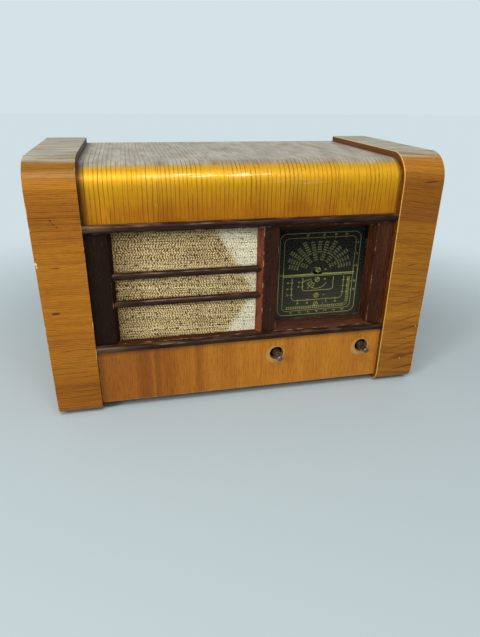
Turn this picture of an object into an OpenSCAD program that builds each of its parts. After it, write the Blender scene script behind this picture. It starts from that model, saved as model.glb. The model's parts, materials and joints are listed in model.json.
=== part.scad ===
// Table-top valve radio receiver in a wooden cabinet, about 1940.
// Millimetres. The row frame has its origin under the middle of the cabinet, +Z up, the front facing -Y.
// Inside place() the cabinet's own frame is used: x = 0 in the middle, y = 0 on the cheeks' front face
// and growing to the back, z = 0 on the cheeks' underside.

/* [Cabinet] */
// Width over both end cheeks
cab_w = 400; // [380:1:440]
// Depth of the cheeks
cab_d = 195; // [190:1:230]
// Height of the cheeks
cab_h = 258; // [254:1:290]
// Width of a cheek's band seen from the front
cheek_w = 44.5; // [36:0.5:46]
// Thickness of the cheek's outer side panel
side_t = 12; // [9:0.5:14]
// Radius of the cheek's top front edge
cheek_top_r = 28; // [20:1:34]
// Radius of the cheek's bottom front edge
cheek_toe_r = 14; // [8:1:16]
// How far the middle of the front lies behind the cheeks
set_back = 5.2; // [4:0.2:6]
// How far the top lies below the cheeks
top_drop = 6; // [3:0.5:8]
// Thickness of the bent top and upper front
shell_t = 8; // [6:0.5:10]
// Thickness of the lower front board
fascia_t = 9; // [7:0.5:10]
// Thickness of the base board
base_t = 10; // [8:0.5:12]
// Height of the base board above the cheeks' underside
skirt_gap = 9; // [6:0.5:11]
// Height of the felt feet
foot_h = 2; // [1:0.5:4]
// Diameter of the felt feet
foot_d = 22; // [14:1:26]

/* [Front frame] */
// Height of the two half-round nosings
nosing_h = 6.8; // [5:0.2:8]
// Underside of the lower nosing
nosing_low_z = 68.8; // [66:0.2:70]
// Underside of the upper nosing
nosing_top_z = 192.8; // [190:0.2:196]
// Depth of the frame's front face behind the cheeks
frame_y = 7; // [6:0.5:8]
// Width of the left post's face
left_post_w = 20.5; // [16:0.5:24]
// Width of the right post's face
right_post_w = 18.3; // [14:0.5:22]
// Left edge of the centre divider's face
divider_x = 16; // [10:0.5:20]
// Width of the centre divider's face
divider_w = 15.5; // [13:0.5:18]
// Depth of the loudspeaker opening's splay
grille_splay_d = 5; // [4:0.5:7]
// Depth of the dial opening's splay
dial_splay_d = 11; // [10:0.5:13]
// Height of a grille bar
bar_h = 7.5; // [5:0.5:9]
// Middle of the upper grille bar
bar_upper_z = 146.6; // [140:0.2:152]
// Middle of the lower grille bar
bar_lower_z = 117.7; // [110:0.2:124]
// Thickness of the loudspeaker cloth
cloth_t = 0.8; // [0.6:0.1:1]
// Thickness of the loudspeaker board
board_t = 6; // [5:0.5:9]

/* [Dial] */
// How far the dial's middle lies left of its opening's middle
dial_shift = 2.75; // [0:0.05:5]
// Middle of the dial above the cheeks' underside
dial_z = 132.4; // [128:0.2:136]
// Thickness of the dial glass
glass_t = 2.5; // [2:0.5:3]
// Depth of the dial's rear tray behind the frame
tray_d = 15; // [14:0.5:18]
// Length of the pointer, end to end
pointer_len = 84; // [70:1:88]
// Width of the pointer's blade
pointer_w = 1.2; // [0.8:0.1:2]

/* [Controls] */
// Height of the spindles
spindle_z = 49; // [47:0.5:51]
// Left spindle, left to right
volume_x = 34; // [24:1:40]
// Right spindle, right of the dial's middle
tuning_off = 52.4; // [46:0.2:54]
// Diameter of the inner spindles
spindle_d = 6; // [5:0.5:6]
// Outside diameter of the hollow spindles
sleeve_d = 8.4; // [8.2:0.1:9]
// How far the inner spindles stand out in front of the cheeks
spindle_out = 9; // [7:0.5:14]
// How far the inner spindles stand out of the hollow ones
spindle_tip = 9; // [7:0.5:12]
// Diameter of the spindle holes in the lower front
hole_d = 15.5; // [14:0.5:18]
// Radial running clearance of the spindles
run_gap = 0.05; // [0.03:0.01:0.08]

/* [Chassis] */
// Left end of the chassis
chassis_x = -140; // [-144:1:-138]
// Length of the chassis
chassis_w = 303; // [298:1:306]
// Front of the chassis
chassis_y = 48; // [46:1:50]
// Depth of the chassis
chassis_d = 121; // [120:1:126]
// Height of the chassis
chassis_h = 51; // [50:0.5:54]
// Sheet thickness of the chassis
chassis_t = 1.5; // [1:0.1:2]
// Diameter of the chassis bolts
bolt_d = 4; // [3:0.5:5]
// Chassis bolts, left and right of the middle
bolt_x = 130; // [120:1:130]

/* [Loudspeaker] */
// Diameter of the loudspeaker's rim
speaker_d = 130; // [124:1:132]
// Depth of the basket
basket_h = 38; // [34:1:40]
// Diameter of the basket's back
basket_back_d = 72; // [68:1:76]
// Diameter of the magnet pot
magnet_d = 60; // [54:1:62]
// Length of the magnet pot
magnet_h = 26; // [22:1:28]
// Diameter of the voice coil
coil_d = 26; // [22:1:30]
// Travel of the cone each way
cone_travel = 1.5; // [1:0.1:2]

/* [Tuning capacitor] */
// Diameter of the drive drum at the cord's centre line
drum_d = 84; // [70:1:86]
// Width of the drum's rim
drum_w = 6; // [5:0.5:7]
// Diameter of the drive cord
cord_d = 0.8; // [0.6:0.1:1]
// Radius of the moving vanes
vane_r = 22; // [18:1:23]
// Thickness of a vane
vane_t = 0.6; // [0.5:0.1:0.8]
// Pitch of the vanes
vane_pitch = 2.6; // [2.4:0.1:2.8]
// Moving vanes in each of the two sections
vane_count = 8; // [6:1:8]
// Length of the capacitor's frame
gang_len = 56; // [55:1:60]
// Half width of the capacitor's frame
gang_half = 27; // [26:0.5:28]

/* [Chassis parts] */
// Diameter of a valve's bulb
valve_d = 38; // [32:1:40]
// Height of a valve above the chassis
valve_h = 96; // [85:1:105]
// Side of a square screening can
can_side = 36; // [32:1:38]
// Height of a screening can
can_h = 72; // [60:1:85]
// Width of the mains transformer
mains_w = 60; // [54:1:62]
// Height of the mains transformer
mains_h = 54; // [50:1:60]
// Diameter of the smoothing capacitor
smooth_d = 30; // [26:1:32]
// Diameter of a socket's hole in the rear strip
socket_d = 4; // [3.8:0.1:4.2]

/* [Back cover] */
// Thickness of the back cover
cover_t = 3; // [2.5:0.5:4]
// Rows of ventilation slots
slot_rows = 6; // [4:1:7]
// Ventilation slots in each row
slot_cols = 8; // [6:1:9]
// Length of a ventilation slot
slot_len = 30; // [24:1:34]
// Height of a ventilation slot
slot_h = 6; // [4:0.5:8]

/* [Hidden] */
$fn = 72;

// Extra length of a cutter past the face it opens
over = 1;
// Gap where a piece is only laid against its neighbour
seat = 0.2;
// How far a screw head stands out of the back cover
screw_head_h = 1.6;
screw_head_d = 7;
screw_d = 3;
screw_len = 14;

// Cabinet inside
cheek_t = shell_t + top_drop;
inner_x = cab_w / 2 - cheek_w;
side_x = cab_w / 2 - side_t;
base_top = skirt_gap + base_t;
shell_z = cab_h - top_drop;
ceiling_z = shell_z - shell_t;
shell_r = cheek_top_r - top_drop;
cover_y = cab_d - cover_t - screw_head_h;
mid_y = (cab_d - spindle_out) / 2;

// Front frame
nosing_y = 0.3;
nosing_low_top = nosing_low_z + nosing_h;
nosing_top_top = nosing_top_z + nosing_h;
opening_top_z = nosing_top_z - 2.3;
grille_x0 = -inner_x + left_post_w;
grille_x1 = divider_x;
dial_x0 = divider_x + divider_w;
dial_x1 = inner_x - right_post_w;
grille_back_y = frame_y + grille_splay_d;
glass_y = frame_y + dial_splay_d;
// Splay of each side of the two openings: left, right, bottom, top
grille_splay = [3.7, 6.2, 2.1, 1.5];
dial_splay = [3.4, 4.9, 8.4, 6];
board_y = grille_back_y + cloth_t;
board_back = board_y + board_t;
// Lap of the glass, the cloth and the rear strips behind the frame
lap = 4;
divider_rear_x = dial_x0 - 11.5;

// Controls
dial_x = (dial_x0 + dial_x1) / 2 - dial_shift;
tuning_x = dial_x + tuning_off;
sleeve_out = spindle_out - spindle_tip;
// Shallow groove behind each knob's seat on a spindle
groove_w = 0.8;
groove_d = 0.4;
bush_len = 10;
bush_wall = 2.2;
pot_r = 16;
pot_len = 22;
switch_plate_y = chassis_y + 14;
switch_plate_half = 15;
wafer_r = 15;
wafer_t = 1.5;
wafer_hub_r = 8;
wafer_y = switch_plate_y + 8;
control_tail = 4;

// Loudspeaker
speaker_x = (grille_x0 + grille_x1) / 2;
speaker_z = (bar_upper_z + bar_lower_z) / 2 + 1;
speaker_y = board_back;
rim_t = 1.6;
rim_w = 8;
basket_t = 1.2;
cone_edge_r = speaker_d / 2 - rim_w - 4;
cone_t = 0.8;
cone_gap = 0.4;
cone_y = speaker_y + rim_t + cone_travel + 0.6;
coil_wall = 0.5;
coil_gap = 0.6;
magnet_y = speaker_y + basket_h;
magnet_wall = 4;
pole_plate_t = 5;
speaker_bolt_d = 3.5;
// The bolts stand in the middle of the rim that is left outside the basket's collar
speaker_bolt_r = speaker_d / 2 - (rim_w - basket_t) / 2;
bolt_gap = 0.2;

// Dial
tray_t = 1;
tray_back = glass_y + tray_d;
tray_lip = 4;
// Room between the glass's edge and the tray's wall, and the length of a clip's foot in it
tray_room = 5;
tray_under = 3;
clip_foot = 3.5;
clip_gap = 0.2;
pointer_y = glass_y + glass_t + 2;
pointer_t = 0.6;
pointer_hub_r = 3.6;
pointer_hub_h = 3;
lamp_r = 5;
lamp_z = opening_top_z + 1.5;
lamp_y = glass_y + 8.5;
lamp_spread = 34;

// Chassis and what stands on it
chassis_x1 = chassis_x + chassis_w;
chassis_y1 = chassis_y + chassis_d;
deck_z = base_top + chassis_h;
flange_w = 10;
bolt_head_h = 2.5;
nut_h = 3;
valve_r = valve_d / 2;
// Places on the deck, from the left end and the front of the chassis; one valve stands behind the
// tuning spindle, and the aerial coil left of the tuning capacitor
valve_at = [[22, 28], [90, 102], [132, 102], [210, 102], [tuning_x - chassis_x, 64]];
can_at = [[170, 102], [252, 103]];
smooth_at = [120, 57];
smooth_h = 68;
smooth_neck_r = 7.5;
coil_off = 51.6;
coil_at = [dial_x - coil_off - chassis_x, 60];
selector_at = 62;
grommet_at = 24;
board_at = [70, 40];
mains_at = [4, 56];
output_at = [112, 12];
output_size = [38, 26, 32];
socket_h = 8;
socket_floor = 2;
base_h = 24;
base_r = 15;
pin_ring = 3;
cap_r = 4;
cap_h = 9;
core_t = 34;
winding_over = 7;
output_winding_over = 4;

// Tuning capacitor
gang_y = chassis_y + 6;
gang_z0 = dial_z - gang_half - 1;
plate_t = 1.5;
shaft_r = spindle_d / 2;
sleeve_r = sleeve_d / 2;
drum_y = tray_back + 3 + drum_w / 2;
cord_r = cord_d / 2;
drum_r = drum_d / 2;
drum_rim = 3;
sleeve_cord_r = sleeve_r + cord_r + run_gap;
section_len = (vane_count - 1) * vane_pitch + vane_t;
section_margin = 4.4;
section_y = [gang_y + section_margin,
             gang_y + gang_len - section_margin - section_len - vane_pitch / 2];
stator_in_r = 7;
vane_hub_r = 5.5;
stator_out_r = vane_r + 2.5;

// Rear
strip_w = 84;
strip_h = 20;
strip_t = 2;
strip_x = 60;
strip_z = base_top + chassis_h / 2;
socket_pitch = 19;
socket_len = 10;
socket_wall = 1.2;
socket_proud = 4;
socket_tube_r = socket_d / 2 + socket_wall;
socket_cut = 1.5 * socket_pitch + socket_tube_r + bolt_gap;
window_edge = 6;

// Puts the cabinet's own frame into the row frame
module place() {
    translate([0, -mid_y, foot_h]) children();
}

// Block between two corners
module block(x0, x1, y0, y1, z0, z1) {
    translate([x0, y0, z0]) cube([x1 - x0, y1 - y0, z1 - z0]);
}

// Round bar along y
module bar_y(r, y0, y1, x, z) {
    translate([x, y0, z]) rotate([-90, 0, 0]) cylinder(r = r, h = y1 - y0);
}

// Upright round bar
module post_z(r, z0, z1, x, y) {
    translate([x, y, z0]) cylinder(r = r, h = z1 - z0);
}

// Extrudes a y-z outline along x
module along_x(x0, x1) {
    translate([x0, 0, 0]) rotate([90, 0, 90]) linear_extrude(height = x1 - x0) children();
}

// Extrudes an x-z outline along y
module along_y(y0, y1) {
    translate([0, y1, 0]) rotate([90, 0, 0]) linear_extrude(height = y1 - y0) children();
}

// Side outline of the cabinet: square at the back, rounded at the top front and the bottom front
module side_outline(y0, z0, y1, z1, top_r, toe_r) {
    translate([y0, z0 + toe_r]) square([y1 - y0, z1 - z0 - top_r - toe_r]);
    intersection() {
        translate([y0 + top_r, z1 - top_r]) circle(r = top_r);
        translate([y0, z1 - top_r]) square(top_r);
    }
    translate([y0 + top_r, z1 - top_r]) square([y1 - y0 - top_r, top_r]);
    if (toe_r > 0) {
        intersection() {
            translate([y0 + toe_r, z0 + toe_r]) circle(r = toe_r);
            translate([y0, z0]) square(toe_r);
        }
        translate([y0 + toe_r, z0]) square([y1 - y0 - toe_r, toe_r]);
    }
}

// End cheek on the right; the left one is its mirror image
module cheek() {
    difference() {
        along_x(inner_x, cab_w / 2) side_outline(0, 0, cab_d, cab_h, cheek_top_r, cheek_toe_r);
        along_x(inner_x - over, side_x)
            side_outline(cheek_t, base_top, cab_d + over, ceiling_z, cheek_top_r - cheek_t, 0);
    }
}

module left_cheek() {
    color("peru") place() mirror([1, 0, 0]) cheek();
}

module right_cheek() {
    color("peru") place() cheek();
}

// Space inside the bent top, down to z0
module shell_inside(x0, x1, z0) {
    along_x(x0, x1)
        side_outline(set_back + shell_t, z0, cab_d + over, ceiling_z, shell_r - shell_t, 0);
}

// Top and upper front, bent from one sheet of plywood
module top_shell() {
    color("goldenrod") place() difference() {
        along_x(-inner_x, inner_x)
            side_outline(set_back, nosing_top_top, cab_d, shell_z, shell_r, 0);
        shell_inside(-inner_x - over, inner_x + over, nosing_top_top - over);
    }
}

// Lower front with the two spindle holes
module lower_fascia() {
    color("chocolate") place() difference() {
        block(-inner_x, inner_x, set_back, set_back + fascia_t, skirt_gap, nosing_low_z);
        for (x = [volume_x, tuning_x])
            bar_y(hole_d / 2, set_back - over, set_back + fascia_t + over, x, spindle_z);
    }
}

// Places of the chassis bolts
module at_chassis_bolts() {
    for (x = [-bolt_x, bolt_x])
        for (y = [chassis_y + flange_w / 2 + chassis_t, chassis_y1 - flange_w / 2 - chassis_t])
            translate([x, y, 0]) children();
}

module base_board() {
    color("burlywood") place() difference() {
        block(-inner_x, inner_x, set_back + fascia_t, cab_d, skirt_gap, base_top);
        at_chassis_bolts()
            post_z(bolt_d / 2 + bolt_gap, skirt_gap - over, base_top + over, 0, 0);
    }
}

// Strips round the back opening that the cover is screwed to
cleat_w = 12;
module cover_cleats() {
    screw_hole_r = screw_d / 2 + seat;
    color("tan") place() difference() {
        union() {
            for (s = [-1, 1])
                translate([s * (side_x - cleat_w / 2), 0, 0])
                    block(-cleat_w / 2, cleat_w / 2, cover_y - cleat_w, cover_y, base_top, ceiling_z);
            block(-side_x + cleat_w, side_x - cleat_w, cover_y - cleat_w, cover_y,
                  ceiling_z - cleat_w, ceiling_z);
        }
        at_cover_screws()
            bar_y(screw_hole_r, cover_y - screw_len + cover_t - over, cover_y + over, 0, 0);
    }
}

// Strip that ties the upper front to the frame below it, clear of the loudspeaker's rim
module front_cleat() {
    y0 = set_back + shell_t;
    color("tan") place() difference() {
        intersection() {
            block(-inner_x, inner_x, y0, y0 + cleat_w, nosing_top_top, nosing_top_top + cleat_w);
            shell_inside(-inner_x, inner_x, nosing_top_top - over);
        }
        bar_y(speaker_d / 2 + over, speaker_y - seat, y0 + cleat_w + over, speaker_x, speaker_z);
    }
}

module felt_feet() {
    foot_in = cheek_w / 2;
    rear_margin = 6;
    color("dimgray") place()
        for (s = [-1, 1])
            for (y = [cheek_toe_r + foot_d / 2, cab_d - foot_d / 2 - rear_margin])
                post_z(foot_d / 2, -foot_h, 0, s * (cab_w / 2 - foot_in), y);
}

// Nosing with a half-round front edge
module nosing(z0) {
    r = nosing_h / 2;
    along_x(-inner_x, inner_x) {
        intersection() {
            translate([nosing_y + r, z0 + r]) circle(r = r);
            translate([nosing_y, z0]) square([r, nosing_h]);
        }
        translate([nosing_y + r, z0]) square([frame_y - nosing_y - r, nosing_h]);
    }
}

module upper_nosing() {
    color("saddlebrown") place() nosing(nosing_top_z);
}

module lower_nosing() {
    color("saddlebrown") place() nosing(nosing_low_z);
}

// Opening that narrows towards the back: x0, x1, z0, z1 at the front face, s the splay of each side
module splayed_opening(x0, x1, z0, z1, depth, s) {
    f = -over / depth;
    b = 1 - f;
    ya = frame_y + depth * f;
    yb = frame_y + depth * b;
    intersection() {
        translate([0, 0, z0 - over]) linear_extrude(height = z1 - z0 + 2 * over) polygon([
            [x0 + s[0] * f, ya], [x1 - s[1] * f, ya], [x1 - s[1] * b, yb], [x0 + s[0] * b, yb]]);
        along_x(x0 - over, x1 + over) polygon([
            [ya, z0 + s[2] * f], [yb, z0 + s[2] * b], [yb, z1 - s[3] * b], [ya, z1 - s[3] * f]]);
    }
}

module grille_opening() {
    splayed_opening(grille_x0, grille_x1, nosing_low_top, opening_top_z, grille_splay_d, grille_splay);
}

module both_openings() {
    grille_opening();
    splayed_opening(dial_x0, dial_x1, nosing_low_top, opening_top_z, dial_splay_d, dial_splay);
}

// Members of the frame: the solid between the cheeks, less both openings, cut up at the mitres.
// Between deep_x0 and deep_x1 a member is as deep as the dial's splay
module frame_member(outline, deep_x0 = 0, deep_x1 = 0) {
    difference() {
        intersection() {
            along_y(frame_y, glass_y) polygon(outline);
            union() {
                block(-inner_x, inner_x, frame_y, grille_back_y, nosing_low_z, nosing_top_top);
                if (deep_x1 > deep_x0)
                    block(deep_x0, deep_x1, frame_y, glass_y, nosing_low_z, nosing_top_top);
            }
        }
        both_openings();
    }
}

// The dial's opening at the back of its splay
dial_zb = nosing_low_top + dial_splay[2];
dial_zt = opening_top_z - dial_splay[3];
dial_xl = dial_x0 + dial_splay[0];
dial_xr = dial_x1 - dial_splay[1];

// The mitres run on past the splay's back edge, so that only the openings shape the reveals
mitre_reach = 1.2;
grille_in = grille_splay * mitre_reach;
dial_in = dial_splay * mitre_reach;
grille_mitres = [[grille_x0 + grille_in[0], nosing_low_top + grille_in[2]],
                 [grille_x1 - grille_in[1], nosing_low_top + grille_in[2]],
                 [grille_x1 - grille_in[1], opening_top_z - grille_in[3]],
                 [grille_x0 + grille_in[0], opening_top_z - grille_in[3]]];
dial_mitres = [[dial_x0 + dial_in[0], nosing_low_top + dial_in[2]],
               [dial_x1 - dial_in[1], nosing_low_top + dial_in[2]],
               [dial_x1 - dial_in[1], opening_top_z - dial_in[3]],
               [dial_x0 + dial_in[0], opening_top_z - dial_in[3]]];

module left_post() {
    color("saddlebrown") place() frame_member([
        [-inner_x, nosing_low_top], [grille_x0, nosing_low_top], grille_mitres[0],
        grille_mitres[3], [grille_x0, opening_top_z], [-inner_x, opening_top_z]]);
}

module centre_divider() {
    color("sienna") place() frame_member([
        [grille_x1, nosing_low_top], [dial_x0, nosing_low_top], dial_mitres[0],
        dial_mitres[3], [dial_x0, opening_top_z], [grille_x1, opening_top_z],
        grille_mitres[2], grille_mitres[1]], divider_rear_x, dial_xl + over);
}

module right_post() {
    color("saddlebrown") place() frame_member([
        [dial_x1, nosing_low_top], [inner_x, nosing_low_top], [inner_x, opening_top_z],
        [dial_x1, opening_top_z], dial_mitres[2], dial_mitres[1]], dial_xr - over, inner_x);
}

module bottom_rail() {
    color("saddlebrown") place() frame_member([
        [-inner_x, nosing_low_z], [inner_x, nosing_low_z], [inner_x, nosing_low_top],
        [dial_x1, nosing_low_top], dial_mitres[1], dial_mitres[0],
        [dial_x0, nosing_low_top], [grille_x1, nosing_low_top], grille_mitres[1],
        grille_mitres[0], [grille_x0, nosing_low_top], [-inner_x, nosing_low_top]],
        divider_rear_x, inner_x);
}

module top_rail() {
    color("saddlebrown") place() frame_member([
        [-inner_x, nosing_top_top], [inner_x, nosing_top_top], [inner_x, opening_top_z],
        [dial_x1, opening_top_z], dial_mitres[2], dial_mitres[3],
        [dial_x0, opening_top_z], [grille_x1, opening_top_z], grille_mitres[2],
        grille_mitres[3], [grille_x0, opening_top_z], [-inner_x, opening_top_z]],
        divider_rear_x, inner_x);
}

// Half-round bar across the loudspeaker opening, its ends cut to the splay
module grille_bar(z) {
    proud = bar_h / 2;
    bar_back = grille_back_y - seat;
    intersection() {
        grille_opening();
        along_x(grille_x0 - over, grille_x1 + over) intersection() {
            translate([bar_back, z]) circle(r = proud);
            translate([bar_back - proud, z - proud]) square([proud, bar_h]);
        }
    }
}

module upper_grille_bar() {
    color("saddlebrown") place() grille_bar(bar_upper_z);
}

module lower_grille_bar() {
    color("saddlebrown") place() grille_bar(bar_lower_z);
}

module speaker_cloth() {
    color("beige") place()
        block(-inner_x + seat, divider_rear_x - seat, grille_back_y, board_y, nosing_low_z, nosing_top_top);
}

// Hole of the loudspeaker board, and of the cone behind it
speaker_hole_r = speaker_d / 2 - rim_w;
module at_speaker_bolts() {
    for (a = [45:90:315])
        translate([speaker_x + speaker_bolt_r * cos(a), 0, speaker_z + speaker_bolt_r * sin(a)]) children();
}

module speaker_board() {
    color("burlywood") place() difference() {
        block(-inner_x, divider_rear_x, board_y, board_back, nosing_low_z, nosing_top_top);
        bar_y(speaker_hole_r, board_y - over, board_back + over, speaker_x, speaker_z);
        at_speaker_bolts() bar_y(speaker_bolt_d / 2 + bolt_gap, board_y - over, board_back + over, 0, 0);
    }
}

module dial_glass() {
    color("darkslategray", 0.5) place()
        block(dial_xl - lap, dial_xr + lap, glass_y, glass_y + glass_t, dial_zb - lap, dial_zt + lap);
}

// Spring clips that hold the glass to the back of the frame
module glass_clips() {
    clip_w = 10;
    clip_t = 0.8;
    clip_spread = 32;
    glass_back = glass_y + glass_t;
    color("silver") place()
        for (s = [-1, 1])
            for (z = [dial_z - clip_spread, dial_z + clip_spread]) {
                edge = s < 0 ? dial_xl - lap : dial_xr + lap;
                translate([edge, 0, z]) mirror([s < 0 ? 1 : 0, 0, 0]) {
                    block(clip_gap, clip_foot, glass_y, glass_y + clip_t, -clip_w / 2, clip_w / 2);
                    block(clip_gap, clip_gap + clip_t, glass_y, glass_back + clip_t,
                          -clip_w / 2, clip_w / 2);
                    block(-clip_foot, clip_gap + clip_t, glass_back, glass_back + clip_t,
                          -clip_w / 2, clip_w / 2);
                }
            }
}

// Open box behind the glass, dark inside, that carries the lamps
tray_x0 = dial_xl - lap - tray_room;
tray_x1 = dial_xr + lap + tray_room;
tray_z0 = dial_zb - lap - tray_under;
tray_z1 = nosing_top_top - over;
module dial_tray() {
    shaft_hole_r = shaft_r + 1.5;
    color("black") place() difference() {
        union() {
            block(tray_x0, tray_x1, glass_y, tray_back, tray_z0, tray_z1);
            block(tray_x0 - tray_lip, tray_x1 + tray_lip, glass_y, glass_y + tray_t, tray_z0, tray_z1);
        }
        block(tray_x0 + tray_t, tray_x1 - tray_t, glass_y - over, tray_back - tray_t,
              tray_z0 + tray_t, tray_z1 - tray_t);
        bar_y(shaft_hole_r, tray_back - tray_t - over, tray_back + over, dial_x, dial_z);
    }
}

// Two lamps with their holders at the top of the tray
module dial_lamps() {
    holder_r = lamp_r + 0.6;
    bulb_r = lamp_r * 0.8;
    neck = 2;
    color("lightyellow") place()
        for (s = [-1, 1]) {
            x = dial_x + s * lamp_spread;
            bar_y(holder_r, lamp_y, tray_back - tray_t, x, lamp_z);
            bar_y(bulb_r, lamp_y - neck, lamp_y, x, lamp_z);
            translate([x, lamp_y - neck, lamp_z]) sphere(r = bulb_r);
        }
}

module dial_pointer() {
    color("khaki") place() {
        block(dial_x - pointer_len / 2, dial_x + pointer_len / 2, pointer_y, pointer_y + pointer_t,
              dial_z - pointer_w / 2, dial_z + pointer_w / 2);
        bar_y(pointer_hub_r, pointer_y, pointer_y + pointer_hub_h, dial_x, dial_z);
    }
}

// Basket with four windows between its legs
module speaker_basket() {
    back_r = basket_back_d / 2;
    front_r = speaker_hole_r + basket_t;
    collar_h = 6;
    leg_w = 16;
    window_y0 = collar_h + 1.5;
    window_y1 = basket_h - 7;
    color("slategray") place() difference() {
        union() {
            difference() {
                bar_y(speaker_d / 2, speaker_y, speaker_y + rim_t, speaker_x, speaker_z);
                bar_y(speaker_hole_r, speaker_y - over, speaker_y + rim_t + over, speaker_x, speaker_z);
            }
            difference() {
                translate([speaker_x, speaker_y, speaker_z]) rotate([-90, 0, 0]) rotate_extrude()
                    polygon([
                        [front_r, 0], [front_r, collar_h], [back_r, basket_h], [0, basket_h],
                        [0, basket_h - basket_t], [back_r - basket_t, basket_h - basket_t],
                        [front_r - basket_t, collar_h], [front_r - basket_t, 0]]);
                for (a = [0:90:270])
                    translate([speaker_x, speaker_y, speaker_z]) rotate([0, a, 0])
                        block(leg_w / 2, speaker_d, window_y0, window_y1, leg_w / 2, speaker_d);
                bar_y(coil_d / 2 + coil_gap + coil_wall, speaker_y + basket_h - 3 * basket_t,
                      speaker_y + basket_h + over, speaker_x, speaker_z);
            }
        }
        at_speaker_bolts()
            bar_y(speaker_bolt_d / 2 + bolt_gap, speaker_y - over, speaker_y + rim_t + over, 0, 0);
    }
}

// Soft ring between the cone and the rim, with one roll
module cone_surround() {
    ring_in = cone_edge_r + cone_gap;
    ring_out = speaker_hole_r;
    roll_r = (ring_out - ring_in) * 0.4;
    color("dimgray") place() translate([speaker_x, cone_y, speaker_z]) rotate([-90, 0, 0])
        rotate_extrude() {
            translate([ring_in, 0]) square([ring_out - ring_in, cone_t]);
            translate([(ring_in + ring_out) / 2, cone_t]) intersection() {
                circle(r = roll_r);
                translate([-roll_r, 0]) square([2 * roll_r, roll_r]);
            }
        }
}

// Paper cone with its voice coil and dust cap
module speaker_cone() {
    coil_r = coil_d / 2;
    neck_room = 7;
    cone_h = magnet_y - cone_y - neck_room;
    coil_end = magnet_y - cone_y + pole_plate_t - cone_travel;
    cap_h = 6;
    cap_r = coil_r * 0.6;
    color("tan") place() translate([speaker_x, cone_y, speaker_z]) rotate([-90, 0, 0])
        rotate_extrude() {
            polygon([[cone_edge_r, 0], [cone_edge_r, cone_t], [coil_r, cone_h], [coil_r, coil_end],
                     [coil_r - coil_wall, coil_end], [coil_r - coil_wall, cone_h - cone_t],
                     [cone_edge_r - 2, 0]]);
            polygon([[0, cone_h - cap_h], [cap_r, cone_h - cap_h * 0.75],
                     [coil_r - coil_wall / 2, cone_h - cone_t], [coil_r - coil_wall / 2, cone_h],
                     [cap_r, cone_h - cap_h * 0.75 + cone_t], [0, cone_h - cap_h + cone_t]]);
        }
}

// Magnet pot with its centre pole
module speaker_magnet() {
    coil_r = coil_d / 2;
    pole_r = coil_r - coil_wall - coil_gap;
    hole_r = coil_r + coil_gap;
    color("darkslategray") place() translate([speaker_x, magnet_y, speaker_z]) rotate([-90, 0, 0]) {
        difference() {
            cylinder(d = magnet_d, h = magnet_h);
            translate([0, 0, -over]) cylinder(r = hole_r, h = pole_plate_t + 2 * over);
            translate([0, 0, pole_plate_t])
                cylinder(r = magnet_d / 2 - magnet_wall, h = magnet_h - pole_plate_t - magnet_wall);
        }
        cylinder(r = pole_r, h = magnet_h - magnet_wall / 2);
    }
}

module speaker_bolts() {
    head_h = 2.4;
    end_h = 4;
    color("silver") place() at_speaker_bolts() {
        bar_y(speaker_bolt_d / 2, board_y + seat, speaker_y + rim_t + end_h, 0, 0);
        bar_y(speaker_bolt_d * 0.85, speaker_y + rim_t, speaker_y + rim_t + head_h, 0, 0);
    }
}

// A laminated transformer standing on the deck: x0, y0 its corner, w wide, d deep, h high
module laminations(x0, y0, w, d, h) {
    leg = w / 5;
    difference() {
        block(x0, x0 + w, y0, y0 + d, deck_z, deck_z + h);
        block(x0 + leg, x0 + 2 * leg, y0 - over, y0 + d + over, deck_z + leg, deck_z + h - leg);
        block(x0 + 3 * leg, x0 + 4 * leg, y0 - over, y0 + d + over, deck_z + leg, deck_z + h - leg);
    }
}

// Winding round the middle leg of such a core
module winding(x0, y0, w, d, h, out) {
    leg = w / 5;
    difference() {
        block(x0 + leg + seat, x0 + 4 * leg - seat, y0 - out, y0 + d + out,
              deck_z + leg + seat, deck_z + h - leg - seat);
        block(x0 + 2 * leg - seat, x0 + 3 * leg + seat, y0 - seat, y0 + d + seat, deck_z, deck_z + h);
    }
}

mains_x0 = chassis_x + mains_at[0];
mains_y0 = chassis_y + mains_at[1] + winding_over;
output_x0 = chassis_x + output_at[0];
output_y0 = chassis_y + output_at[1];
module mains_transformer() {
    color("gray") place() laminations(mains_x0, mains_y0, mains_w, core_t, mains_h);
}

module transformer_windings() {
    color("darkred") place() {
        winding(mains_x0, mains_y0, mains_w, core_t, mains_h, winding_over);
        winding(output_x0, output_y0, output_size[0], output_size[1], output_size[2], output_winding_over);
    }
}

module output_transformer() {
    color("gray") place()
        laminations(output_x0, output_y0, output_size[0], output_size[1], output_size[2]);
}

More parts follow.
